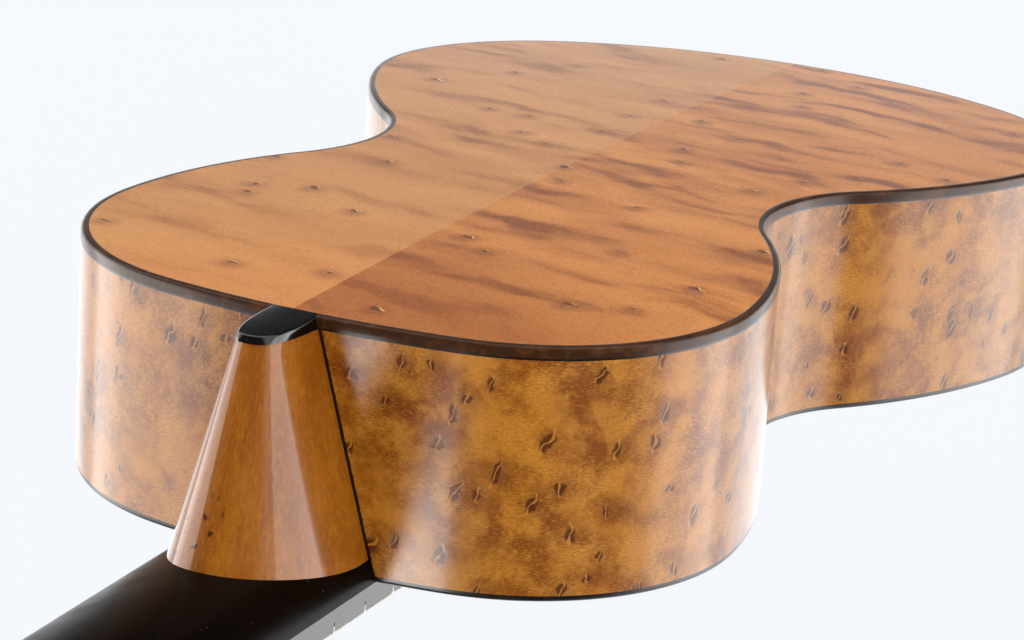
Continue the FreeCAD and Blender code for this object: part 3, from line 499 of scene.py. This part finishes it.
def make_windings(plain, wound):
    """Every string's turns, riding on its own roller."""
    for number in range(1, 7):
        material, slot = (plain, "plain_string") if number <= 3 else (wound, "wound_string")
        make_piece(f"string_turns_{number}", [winding(number)], material,
                   body=f"string_roller_{number}")


# ---------------------------------------------------------------- materials

def colour(code):
    """A display colour such as 'c98a55' as the linear numbers that shaders use."""
    channels = [int(code[i:i + 2], 16) / 255 for i in (0, 2, 4)]
    linear = [c / 12.92 if c <= 0.04045 else ((c + 0.055) / 1.055) ** 2.4 for c in channels]
    return (*linear, 1.0)


class Nodes:
    """A short way to write shader nodes."""

    def __init__(self, node_tree):
        self.nodes = node_tree.nodes
        self.links = node_tree.links

    def add(self, kind, inputs=(), output=0, **settings):
        """A node with settings, and inputs given by name or number as links or values."""
        node = self.nodes.new(kind)
        for setting, value in settings.items():
            setattr(node, setting, value)
        for socket, value in dict(inputs).items():
            self.connect(value, node.inputs[socket])
        return node.outputs[output]

    def connect(self, value, socket):
        """Link a node's output to a socket, or set the socket's value."""
        if isinstance(value, bpy.types.NodeSocket):
            self.links.new(value, socket)
        else:
            socket.default_value = value

    def place(self):
        """Coordinates in the guitar's frame, in metres."""
        return self.add("ShaderNodeTexCoord", output="Object")

    def grain(self):
        """Coordinates along and across a bent piece, in metres."""
        return self.add("ShaderNodeUVMap", uv_map="grain")

    def stretch(self, vector, scale):
        """Coordinates scaled by a different number each way."""
        return self.add("ShaderNodeMapping", {"Vector": vector, "Scale": scale})

    def math(self, operation, a, b=0.0):
        """Arithmetic on two values."""
        return self.add("ShaderNodeMath", {0: a, 1: b}, operation=operation)

    def vector(self, operation, a, b):
        """Arithmetic on two vectors."""
        return self.add("ShaderNodeVectorMath", {0: a, 1: b}, operation=operation)

    def distance(self, a, b):
        """The distance between two points."""
        return self.add("ShaderNodeVectorMath", {0: a, 1: b}, output="Value", operation="DISTANCE")

    def noise(self, vector, scale=1.0, detail=2.0, rough=0.5, output="Fac"):
        """Soft random variation from 0 to 1."""
        inputs = {"Vector": vector, "Scale": scale, "Detail": detail, "Roughness": rough}
        return self.add("ShaderNodeTexNoise", inputs, output=output)

    def between(self, value, low, high, to_low=0.0, to_high=1.0):
        """A smooth step of a value between two limits."""
        inputs = {"Value": value, "From Min": low, "From Max": high, "To Min": to_low, "To Max": to_high}
        return self.add("ShaderNodeMapRange", inputs, interpolation_type="SMOOTHSTEP")

    def blend(self, share, a, b):
        """A mixture of two colours."""
        return self.add("ShaderNodeMix", {0: share, 6: a, 7: b}, output=2, data_type="RGBA")

    def warp(self, vector, scale, amount, detail=2.0):
        """Coordinates pushed about by noise."""
        push = self.noise(vector, scale, detail, output="Color")
        centred = self.vector("SUBTRACT", push, (0.5, 0.5, 0.5))
        return self.vector("ADD", vector, self.vector("MULTIPLY", centred, (amount, amount, amount)))

    def split(self, vector):
        """The parts of a vector."""
        node = self.nodes.new("ShaderNodeSeparateXYZ")
        self.links.new(vector, node.inputs[0])
        return node.outputs

    def bump(self, height, distance, strength):
        """A normal bent by a height from 0 to 1, over a distance in metres."""
        return self.add("ShaderNodeBump", {"Height": height, "Distance": distance, "Strength": strength})


class Surface(Nodes):
    """A material, with settings of its shader given by name."""

    def __init__(self, name, **settings):
        self.material = bpy.data.materials.new(name)
        self.material.use_nodes = True
        super().__init__(self.material.node_tree)
        self.shader = self.nodes["Principled BSDF"]
        for socket, value in settings.items():
            self.shader.inputs[socket.replace("_", " ")].default_value = value

    def finish(self, base, roughness=None, normal=None, coat_normal=None):
        """Put the results on the shader."""
        results = {"Base Color": base, "Roughness": roughness, "Normal": normal, "Coat Normal": coat_normal}
        for socket, value in results.items():
            if value is not None:
                self.connect(value, self.shader.inputs[socket])
        return self.material


def bird_eyes(tree, flat, cell, half_width, half_height, crowding, pale_line_place=0.0):
    """Bird's eyes, as masks of broad painted shading to one side of each eye, a dark lens and a pale curved
    line, which set off centre is a painted highlight on the lens's rim. Sizes are in metres.
    """
    warped = tree.warp(tree.warp(flat, 130.0, 0.004), 420.0, 0.0022)
    nearest = tree.nodes.new("ShaderNodeTexVoronoi")
    nearest.voronoi_dimensions = "2D"
    nearest.inputs["Scale"].default_value = 1.0 / cell
    tree.links.new(warped, nearest.inputs["Vector"])
    local = tree.vector("SUBTRACT", warped, nearest.outputs["Position"])
    chance = tree.split(nearest.outputs["Color"])
    lean = tree.math("MULTIPLY", tree.math("SUBTRACT", chance[0], 0.45), 0.9)
    turned = tree.add("ShaderNodeVectorRotate", {"Vector": local, "Angle": lean}, rotation_type="Z_AXIS")
    width = tree.between(chance[1], 0.0, 1.0, 0.6, 1.1)
    height = tree.between(chance[0], 0.0, 1.0, 0.4, 1.15)
    size = tree.add("ShaderNodeCombineXYZ", {0: width, 1: height, 2: 1.0})
    x, y, _ = tree.split(tree.vector("DIVIDE", turned, size))
    across = tree.math("DIVIDE", x, half_width)
    along = tree.math("DIVIDE", y, half_height)
    squares = tree.math("ADD", tree.math("POWER", across, 2.0), tree.math("POWER", along, 2.0))
    reach = tree.math("SQRT", squares)
    few = tree.between(tree.noise(nearest.outputs["Position"], 24.0, 1.0), 0.42, 0.6, crowding, 0.1)
    present = tree.math("LESS_THAN", chance[2], few)
    lens = tree.math("MULTIPLY", tree.between(reach, 1.15, 0.65), present)
    bend = tree.math("MULTIPLY", tree.math("SINE", tree.math("MULTIPLY", along, 2.4)), 0.3)
    # Moved off centre, the pale line sits at the lens's edge as a painted highlight.
    off_bend = tree.math("SUBTRACT", tree.math("SUBTRACT", across, bend), pale_line_place)
    off_pale_line = tree.math("ABSOLUTE", off_bend)
    pale_line_and_highlight = tree.math("MULTIPLY", tree.between(off_pale_line, 0.26, 0.08), tree.between(reach, 1.35, 1.05))
    pale_line_and_highlight = tree.math("MULTIPLY", pale_line_and_highlight, present)
    # Painted shading: a broad dark patch set off to one side of each eye.
    beside = tree.distance(nearest.outputs["Position"], tree.vector("ADD", warped, (-0.0018, 0.0, 0.0)))
    painted_eye_shade = tree.math("MULTIPLY", tree.between(beside, 0.0075, 0.001), present)
    return painted_eye_shade, lens, pale_line_and_highlight


def maple_side():
    """Glossy bird's-eye maple of the sides."""
    tree = Surface("maple_side", Coat_Weight=1.0, Coat_Roughness=0.15, Coat_IOR=1.5, Specular_IOR_Level=0.2)
    flat = tree.grain()
    clouds = tree.noise(tree.warp(flat, 22.0, 0.03), 30.0, 4.0, 0.6)
    fine_clouds = tree.noise(tree.warp(flat, 60.0, 0.012), 95.0, 4.0, 0.65)
    base = tree.blend(tree.between(clouds, 0.37, 0.64), colour("844208"), colour("bf7820"))
    base = tree.blend(tree.between(fine_clouds, 0.40, 0.68, 0.0, 0.8), base, colour("cc862c"))
    base = tree.blend(tree.between(fine_clouds, 0.46, 0.3, 0.0, 0.5), base, colour("7c3c06"))

    painted_eye_shade, lens, pale_line_and_highlight = bird_eyes(tree, flat, 0.0135, 0.0020, 0.0036, 0.95)
    # Painted shading beside each eye, blended into the colour.
    base = tree.blend(tree.math("MULTIPLY", painted_eye_shade, 0.38), base, colour("6a3008"))

    curls = tree.warp(tree.warp(flat, 70.0, 0.008), 300.0, 0.0014)
    fibres = tree.noise(tree.stretch(curls, (620.0, 2400.0, 1.0)), 1.0, 5.0, 0.75)
    strength = tree.between(tree.noise(flat, 45.0, 2.0), 0.35, 0.65, 0.4, 1.0)
    pale = tree.math("MULTIPLY", tree.between(fibres, 0.50, 0.64, 0.0, 0.6), strength)
    dark = tree.math("MULTIPLY", tree.between(fibres, 0.49, 0.35, 0.0, 0.65), strength)
    base = tree.blend(pale, base, colour("e0a446"))
    base = tree.blend(dark, base, colour("6e3506"))

    base = tree.blend(tree.math("MULTIPLY", lens, 0.85), base, colour("4c1e06"))
    base = tree.blend(tree.math("MULTIPLY", pale_line_and_highlight, 0.75), base, colour("cd8838"))
    pores = tree.between(tree.noise(flat, 1500.0, 2.0, 0.6), 0.64, 0.72, 0.0, 0.6)
    base = tree.blend(pores, base, colour("4a2408"))
    base = tree.blend(heel_foot_line(tree, flat), base, colour("0d0a09"))

    height = tree.math("SUBTRACT", tree.math("MULTIPLY", fibres, 0.5), tree.math("MULTIPLY", lens, 0.5))
    roughness = tree.between(fibres, 0.2, 0.8, 0.42, 0.3)
    return tree.finish(base, roughness, tree.bump(height, 0.00025, 0.6), tree.bump(height, 0.00006, 0.6))


def heel_foot_line(tree, flat):
    """A ragged dark line on the sides, along the foot of the heel."""
    u, v, _ = tree.split(flat)
    ragged = tree.math("MULTIPLY", tree.noise(flat, 420.0, 3.0, 0.7), 0.0009)
    middle = tree.math("MULTIPLY", v, HEEL_TOP_SHIFT / BACK_CREST)
    slope = (HEEL_TOP[0] - HEEL_FOOT[0]) / BACK_CREST
    edge = tree.math("ADD", tree.math("MULTIPLY", v, slope), HEEL_FOOT[0] * MM)
    beyond = tree.math("SUBTRACT", tree.math("ABSOLUTE", tree.math("SUBTRACT", u, middle)), edge)
    return tree.between(tree.math("SUBTRACT", beyond, ragged), 0.00085, 0.0006)


def maple_heel():
    """The heel's maple, with faint grain that runs up the cone."""
    tree = Surface("maple_heel", Coat_Weight=1.0, Coat_Roughness=0.07, Coat_IOR=1.5, Specular_IOR_Level=0.2)
    flat = tree.grain()
    streaks = tree.noise(tree.stretch(tree.warp(flat, 30.0, 0.006), (150.0, 22.0, 1.0)), 1.0, 4.0, 0.6)
    clouds = tree.noise(flat, 55.0, 4.0, 0.6)
    base = tree.blend(tree.between(streaks, 0.34, 0.68), colour("884a08"), colour("a26014"))
    base = tree.blend(tree.between(clouds, 0.42, 0.7, 0.0, 0.6), base, colour("8c4c0a"))
    fibres = tree.noise(tree.stretch(tree.warp(flat, 80.0, 0.003), (1300.0, 330.0, 1.0)), 1.0, 4.0, 0.65)
    base = tree.blend(tree.between(fibres, 0.5, 0.72, 0.0, 0.35), base, colour("c08030"))
    base = tree.blend(tree.between(fibres, 0.5, 0.3, 0.0, 0.35), base, colour("6e3a08"))
    corner = tree.distance(flat, (0.009, 0.024, 0.0))
    flecks = tree.noise(tree.stretch(flat, (420.0, 260.0, 1.0)), 1.0, 2.0)
    flecks = tree.math("MULTIPLY", tree.between(flecks, 0.60, 0.67), tree.between(corner, 0.022, 0.008))
    base = tree.blend(flecks, base, colour("3a1d08"))
    return tree.finish(base, 0.35, tree.bump(fibres, 0.0001, 0.3))


def flame_relief_shading(tree, place):
    """The silky cross ripple figure of a flamed back, drawn as relief shading of a noise: a painted
    highlight on one flank and painted shading on the other, from -1 to 1.
    """
    warped = tree.warp(place, 16.0, 0.035, 3.0)
    slanted = tree.add("ShaderNodeVectorRotate", {"Vector": warped, "Angle": 0.16}, rotation_type="Y_AXIS")
    waves = tree.stretch(slanted, (15.0, 15.0, 50.0))
    shifted = tree.vector("ADD", waves, (0.0, 0.0, 0.4))
    here = tree.noise(waves, 1.0, 3.0, 0.45)
    there = tree.noise(shifted, 1.0, 3.0, 0.45)
    return tree.math("MULTIPLY", tree.math("SUBTRACT", here, there), 7.5)


def maple_back(name, light, middle, dark, heel_light_and_shadow, flame):
    """Satin maple of one half of the back."""
    tree = Surface(name, Coat_Weight=0.5, Coat_Roughness=0.24, Coat_IOR=1.5, Specular_IOR_Level=0.15)
    place = tree.place()
    x, _, z = tree.split(place)
    ripple_shading = flame_relief_shading(tree, place)
    calm = tree.between(tree.noise(place, 12.0, 2.0), 0.35, 0.62, 0.4, 1.0)
    ripple_shading = tree.math("MULTIPLY", ripple_shading, tree.math("MULTIPLY", calm, flame))
    tone = tree.noise(tree.stretch(place, (9.0, 9.0, 18.0)), 1.0, 3.0)
    base = tree.blend(tree.between(tone, 0.35, 0.65, 0.0, 0.6), middle, light)
    # The relief's painted highlight and painted shading go into the colour here.
    base = tree.blend(tree.between(ripple_shading, 0.0, 1.0, 0.0, 0.8), base, light)
    base = tree.blend(tree.between(ripple_shading, 0.0, -1.1, 0.0, 0.9), base, dark)

    # Painted light by the heel: a painted shadow on the treble half and a painted highlight on the bass
    # half, fading out from a point at the heel.
    from_heel = tree.distance(place, (0.0, 0.08, -0.31))
    base = tree.blend(tree.between(from_heel, 0.15, 0.03, 0.0, 0.75), base, heel_light_and_shadow)

    fibres = tree.noise(tree.stretch(tree.warp(place, 60.0, 0.006), (900.0, 900.0, 260.0)), 1.0, 3.0, 0.6)
    base = tree.blend(tree.between(fibres, 0.5, 0.75, 0.0, 0.2), base, light)
    base = tree.blend(tree.between(fibres, 0.5, 0.25, 0.0, 0.25), base, dark)

    flat = tree.add("ShaderNodeCombineXYZ", {0: z, 1: x, 2: 0.0})
    # On the back the pale line is pushed to one edge of each lens, where it is a painted highlight, and the
    # dark patch beside each eye is painted shading.
    painted_eye_shade, lens, pale_line_and_highlight = bird_eyes(tree, flat, 0.026, 0.0019, 0.0025, 0.6, -0.85)
    base = tree.blend(tree.math("MULTIPLY", painted_eye_shade, 0.6), base, dark)
    base = tree.blend(tree.math("MULTIPLY", lens, 0.8), base, colour("5a2a0e"))
    base = tree.blend(pale_line_and_highlight, base, colour("f0b878"))

    sand = tree.noise(place, 1300.0, 3.0, 0.6)
    base = tree.blend(tree.between(sand, 0.52, 0.72, 0.0, 0.45), base, dark)
    base = tree.blend(tree.between(sand, 0.48, 0.30, 0.0, 0.3), base, light)
    height = tree.math("SUBTRACT", tree.math("MULTIPLY", sand, 0.35), tree.math("MULTIPLY", lens, 0.9))
    return tree.finish(base, 0.45, tree.bump(height, 0.00022, 0.5), tree.bump(height, 0.00008, 0.5))


def streaked_wood(name, light, dark, roughness, scale=(160.0, 160.0, 6.0), **shader):
    """Straight-grained wood whose fibres run along the guitar."""
    tree = Surface(name, **shader)
    place = tree.place()
    streaks = tree.noise(tree.stretch(tree.warp(place, 8.0, 0.003), scale), 1.0, 4.0, 0.6)
    fibres = tree.noise(tree.stretch(place, tuple(s * 8 for s in scale)), 1.0, 2.0)
    base = tree.blend(tree.between(streaks, 0.35, 0.68), light, dark)
    base = tree.blend(tree.between(fibres, 0.5, 0.75, 0.0, 0.35), base, dark)
    rough = tree.between(fibres, 0.3, 0.7, roughness, roughness + 0.1)
    return tree.finish(base, rough, tree.bump(fibres, 0.00008, 0.4))


def spruce():
    """Soundboard spruce: fine straight annual lines that wander a little."""
    tree = Surface("spruce", Coat_Weight=0.5, Coat_Roughness=0.22, Coat_IOR=1.5)
    place = tree.place()
    drift = tree.noise(tree.stretch(place, (4.0, 4.0, 1.2)), 1.0, 2.0)
    x, _, _ = tree.split(place)
    wander = tree.math("MULTIPLY", drift, 9.0)
    lines = tree.math("ADD", tree.math("MULTIPLY", x, ANNUAL_LINES_PER_METRE), wander)
    saw = tree.math("FRACT", lines)
    winter = tree.math("POWER", saw, 3.0)
    silk = tree.noise(tree.stretch(place, (60.0, 60.0, 420.0)), 1.0, 3.0)
    base = tree.blend(tree.math("MULTIPLY", winter, 0.55), colour("e3bd80"), colour("b07c40"))
    base = tree.blend(tree.between(silk, 0.5, 0.8, 0.0, 0.35), base, colour("f0d29c"))
    return tree.finish(base, 0.38, tree.bump(winter, 0.00004, 0.3))


def rosette():
    """Rings of dark lines with a small checked mosaic between them."""
    tree = Surface("rosette_inlay", Coat_Weight=0.6, Coat_Roughness=0.15, Coat_IOR=1.5)
    x, _, z = tree.split(tree.place())
    down = tree.math("SUBTRACT", z, SOUNDHOLE_Z * MM)
    radius = tree.math("SQRT", tree.math("ADD", tree.math("POWER", x, 2.0), tree.math("POWER", down, 2.0)))
    angle = tree.math("ARCTAN2", down, x)
    around = tree.math("FLOOR", tree.math("MULTIPLY", angle, MOSAIC_PER_RADIAN))
    outwards = tree.math("FLOOR", tree.math("MULTIPLY", radius, MOSAIC_PER_METRE))
    check = tree.math("MODULO", tree.math("ABSOLUTE", tree.math("ADD", around, outwards)), 2.0)
    mosaic = tree.blend(check, colour("e9d8b4"), colour("7a2f1c"))
    from_middle = tree.math("ABSOLUTE", tree.math("SUBTRACT", radius, ROSETTE_RADIUS * MM))
    base = tree.blend(tree.math("LESS_THAN", from_middle, MOSAIC_HALF_WIDTH * MM), colour("14100e"), mosaic)
    grain = tree.noise(tree.place(), 900.0, 2.0)
    base = tree.blend(tree.between(grain, 0.45, 0.75, 0.0, 0.3), base, colour("2b1a10"))
    return tree.finish(base, 0.3)


def dark_gloss(name, base_code, sheen_code, roughness, **shader):
    """Dark material with faint streaks and small marks."""
    tree = Surface(name, **shader)
    place = tree.place()
    streaks = tree.noise(tree.stretch(place, (220.0, 220.0, 12.0)), 1.0, 4.0, 0.65)
    base = tree.blend(tree.between(streaks, 0.45, 0.75), colour(base_code), colour(sheen_code))
    dust = tree.between(tree.noise(place, 950.0, 1.0), 0.76, 0.80, 0.0, 0.25)
    base = tree.blend(dust, base, colour("8f8a84"))
    rough = tree.between(tree.noise(place, 90.0, 3.0), 0.3, 0.7, roughness, roughness + 0.08)
    return tree.finish(base, rough, tree.bump(streaks, 0.00005, 0.3))


def metal(name, code, roughness, wear):
    """Brushed metal with soft tarnish."""
    tree = Surface(name, Metallic=1.0)
    place = tree.place()
    tarnish = tree.noise(place, 120.0, 4.0, 0.6)
    brushed = tree.noise(tree.stretch(place, (3000.0, 400.0, 400.0)), 1.0, 2.0)
    base = tree.blend(tree.between(tarnish, 0.45, 0.75, 0.0, 0.6), colour(code), colour(wear))
    rough = tree.between(tarnish, 0.35, 0.7, roughness, roughness + 0.18)
    return tree.finish(base, rough, tree.bump(brushed, 0.00003, 0.3))


def bone(name, light, dark, roughness):
    """Bone or pearl: pale, faintly clouded and flecked."""
    tree = Surface(name, Coat_Weight=0.5, Coat_Roughness=0.12, Coat_IOR=1.5, Subsurface_Weight=0.1)
    tree.shader.inputs["Subsurface Radius"].default_value = (0.002, 0.001, 0.0007)
    place = tree.place()
    clouds = tree.noise(tree.warp(place, 90.0, 0.01), 150.0, 3.0, 0.6)
    base = tree.blend(tree.between(clouds, 0.35, 0.7), colour(light), colour(dark))
    flecks = tree.between(tree.noise(place, 1500.0, 1.0), 0.68, 0.78, 0.0, 0.3)
    base = tree.blend(flecks, base, colour("8d7a58"))
    return tree.finish(base, roughness, tree.bump(clouds, 0.00005, 0.2))


def string_material(name, code, wound):
    """Clear or wound string; the windings are fine rings along it."""
    tree = Surface(name, Metallic=1.0 if wound else 0.0, IOR=1.5)
    place = tree.place()
    _, _, z = tree.split(place)
    rings = tree.math("SINE", tree.math("MULTIPLY", z, 14000.0 if wound else 300.0))
    tone = tree.noise(place, 400.0, 2.0)
    base = tree.blend(tree.between(tone, 0.35, 0.7, 0.0, 0.4), colour(code), colour("6f5a3c"))
    return tree.finish(base, 0.28, tree.bump(rings, 0.00008 if wound else 0.000005, 0.6))


# ---------------------------------------------------------------- scene

def dress(nodes, material):
    """Give CAD nodes a material."""
    for name in nodes:
        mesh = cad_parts[name].data
        mesh.materials.clear()
        mesh.materials.append(material)


def numbered(stem):
    """The six nodes of a repeated sub-part."""
    return [f"{stem}_{number}" for number in range(1, 7)]


def make_camera():
    """A camera above the head of the neck, looking down the back."""
    a, b, c = CAMERA_YAW, CAMERA_PITCH, CAMERA_ROLL
    forward = Vector((-math.cos(b) * math.sin(a), -math.sin(b), -math.cos(b) * math.cos(a)))
    right = Vector((math.cos(a), 0.0, -math.sin(a)))
    up = Vector((-math.sin(a) * math.sin(b), math.cos(b), -math.cos(a) * math.sin(b)))
    rolled_right = right * math.cos(c) + up * math.sin(c)
    rolled_up = up * math.cos(c) - right * math.sin(c)
    turn = Matrix((rolled_right, rolled_up, -forward)).transposed().to_4x4()
    data = bpy.data.cameras.new("camera")
    data.lens = CAMERA_LENS
    data.sensor_width = SENSOR_WIDTH
    data.clip_end = 200.0
    camera = bpy.data.objects.new("camera", data)
    camera.matrix_world = Matrix.Translation(CAMERA_PLACE) @ turn
    bpy.context.scene.collection.objects.link(camera)
    bpy.context.scene.camera = camera


def soft_box(name, place, target, size, brightness, shine):
    """A rectangular studio light aimed at a point: either a lamp, or a card that only shows in gloss."""
    data = bpy.data.lights.new(name, "AREA")
    data.shape = "RECTANGLE"
    data.size, data.size_y = size
    data.energy = brightness * math.pi * size[0] * size[1]
    light = bpy.data.objects.new(name, data)
    light.location = place
    light.rotation_euler = (Vector(target) - Vector(place)).to_track_quat("-Z", "Y").to_euler()
    light.visible_camera = False
    light.visible_diffuse = not shine
    light.visible_glossy = shine
    bpy.context.scene.collection.objects.link(light)


def make_world():
    """A studio: pale all round the horizon, bright below the front of the guitar, dark elsewhere."""
    world = bpy.data.worlds.new("studio")
    world.use_nodes = True
    tree = Nodes(world.node_tree)
    _, y, z = tree.split(tree.add("ShaderNodeTexCoord", output="Generated"))
    sweep = tree.between(y, SWEEP_EDGE[1], SWEEP_EDGE[0], STUDIO_DARK, SWEEP_BRIGHT)
    below = tree.between(z, BELOW_EDGE[0], BELOW_EDGE[1], 0.0, 1.0)
    above = tree.between(z, ABOVE_EDGE[0], ABOVE_EDGE[1], STUDIO_PALE, STUDIO_DARK)
    strength = tree.math("ADD", tree.math("MULTIPLY", below, sweep),
                         tree.math("MULTIPLY", tree.math("SUBTRACT", 1.0, below), above))
    background = tree.nodes["Background"]
    background.inputs["Color"].default_value = colour("fafbfd")
    tree.links.new(strength, background.inputs["Strength"])
    bpy.context.scene.world = world


def make_floor(lowest):
    """A wide, plain, pale floor below the guitar."""
    mesh = bpy.data.meshes.new("floor")
    count = 64
    z = lowest - FLOOR_GAP
    angles = [2 * math.pi * i / count for i in range(count)]
    rim = [(FLOOR_RADIUS * math.cos(a), FLOOR_RADIUS * math.sin(a), z) for a in angles]
    mesh.from_pydata(rim, [], [tuple(range(count))])
    floor = bpy.data.objects.new("floor", mesh)
    bpy.context.scene.collection.objects.link(floor)
    tree = Surface("floor", Roughness=0.9, Emission_Strength=FLOOR_GLOW, Emission_Color=colour("f2f5f9"))
    tone = tree.noise(tree.place(), 3.0, 2.0)
    base = tree.blend(tree.between(tone, 0.3, 0.7, 0.0, 0.5), colour("6e7073"), colour("6a6c70"))
    mesh.materials.append(tree.finish(base))
    floor.visible_glossy = False


def dress_cad(blackened):
    """Materials for the CAD nodes that stay as they are."""
    ebony = dark_gloss("ebony", "0b0a0a", "1d1714", 0.3, Coat_Weight=0.3, Coat_Roughness=0.2)
    board = dark_gloss("board_ebony", "121110", "1f1a17", 0.22, Coat_Weight=1.0, Coat_Roughness=0.2)
    facing = dark_gloss("head_facing", "0b0a0a", "1c1512", 0.2, Coat_Weight=1.0, Coat_Roughness=0.08)
    graft = dark_gloss("graft", "15100d", "2a1c14", 0.25, Coat_Weight=0.8, Coat_Roughness=0.12)
    inner = streaked_wood("inner_wood", colour("c9a06c"), colour("a87c4a"), 0.6)
    brass = metal("brass", "c9a25a", 0.24, "8a6a34")
    dress(["bridge", "bridge_pins", "end_pin"], ebony)
    dress(["fingerboard"], board)
    dress(["headplate"], facing)
    dress(["headstock"], blackened)
    dress(["soundboard_bass_half", "soundboard_treble_half"], spruce())
    dress(["rosette"], rosette())
    dress(["end_graft"], graft)
    dress(["head_block", "tail_block", "top_linings", "back_linings", "soundboard_braces", "back_braces",
           "back_centre_strip", "bridge_plate"], inner)
    dress(["nut", "saddle"], bone("bone", "ece2cb", "dccdaa", 0.35))
    dress(numbered("button"), bone("pearl", "f1ece0", "d9d2c3", 0.22))
    dress(["frets"], metal("fret_metal", "c9c6bf", 0.2, "9a958c"))
    dress(["tuner_plate_bass", "tuner_plate_treble"] + numbered("roller"), brass)
    dress(["tuner_screws"] + numbered("key"), metal("steel", "b9b8b5", 0.25, "807c76"))


def ebonised_wood():
    """Blackened wood of the neck and head, faintly red-brown where the light catches it."""
    return dark_gloss("ebonised_wood", "030303", "090505", 0.3, Specular_IOR_Level=0.08)


def build_guitar():
    """All the new pieces."""
    blackened = ebonised_wood()
    dress_cad(blackened)
    # The fourth tone of each half is painted light by the heel: a painted shadow on the treble half, a
    # painted highlight on the bass half.
    treble_tones = [colour(code) for code in ("dc9048", "c27634", "80401a", "9a5016")]
    bass_tones = [colour(code) for code in ("d8985a", "c4844a", "92542a", "d68a46")]
    make_back({
        "treble": maple_back("maple_back_treble", *treble_tones, flame=1.0),
        "bass": maple_back("maple_back_bass", *bass_tones, flame=0.7),
    })
    make_sides(maple_side())
    band = dark_gloss("band", "3a200e", "5c3618", 0.3, Coat_Weight=0.5, Coat_Roughness=0.15,
                      Specular_IOR_Level=0.2)
    front_band = dark_gloss("front_band", "16110e", "2a201a", 0.3, Coat_Weight=0.6, Coat_Roughness=0.2)
    line = dark_gloss("edge_line", "0a0808", "171210", 0.3, Coat_Weight=0.6, Coat_Roughness=0.2)
    make_bands(band, front_band, line)
    make_heel(maple_heel())
    make_heel_cap(dark_gloss("cap_gloss", "050506", "0b0b0c", 0.12, Coat_Weight=1.0, Coat_Roughness=0.05))
    make_neck(blackened)
    plain = string_material("plain_string", "e8e2d2", False)
    wound = string_material("wound_string", "b08a55", True)
    dress(["string_1", "string_2", "string_3"], plain)
    dress(["string_4", "string_5", "string_6"], wound)
    make_windings(plain, wound)


def light_guitar():
    """Lamps on four sides, and cards that show in the gloss of the sides and the heel."""
    middle = Vector((0.0, 0.04, -0.42))
    # Every line says a name, a direction from the middle, a distance, a size and a brightness.
    lamps = [
        ("left", (-0.80, -0.10, 0.60), 2.5, (2.4, 1.5), 3.5),
        ("right", (0.85, -0.06, 0.50), 2.0, (2.0, 1.2), 2.9),
        ("front", (0.0, -0.44, 0.90), 2.2, (0.6, 0.6), 4.5),
        ("over_back", (0.1, 0.90, 0.40), 1.7, (1.4, 1.4), 3.7),
    ]
    cards = [
        ("left_card", (-0.95, -0.08, 0.30), 2.5, (2.6, 2.7), 2.8),
        ("left_edge_card", (-0.62, -0.30, 0.75), 2.5, (1.2, 0.7), 0.8),
        ("right_card", (0.90, -0.05, -0.42), 2.5, (2.6, 1.9), 1.9),
        ("streak_card", (-0.19, -0.43, 0.89), 2.2, (0.75, 0.65), 9.5),
    ]
    for boxes, shine in ((lamps, False), (cards, True)):
        for name, direction, distance, size, brightness in boxes:
            place = middle + Vector(direction).normalized() * distance
            soft_box(name, place, middle, size, brightness, shine)


cad_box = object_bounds()
bpy.context.scene.view_settings.view_transform = "Standard"
make_camera()
make_world()
make_floor(cad_box[0].z)
build_guitar()
light_guitar()
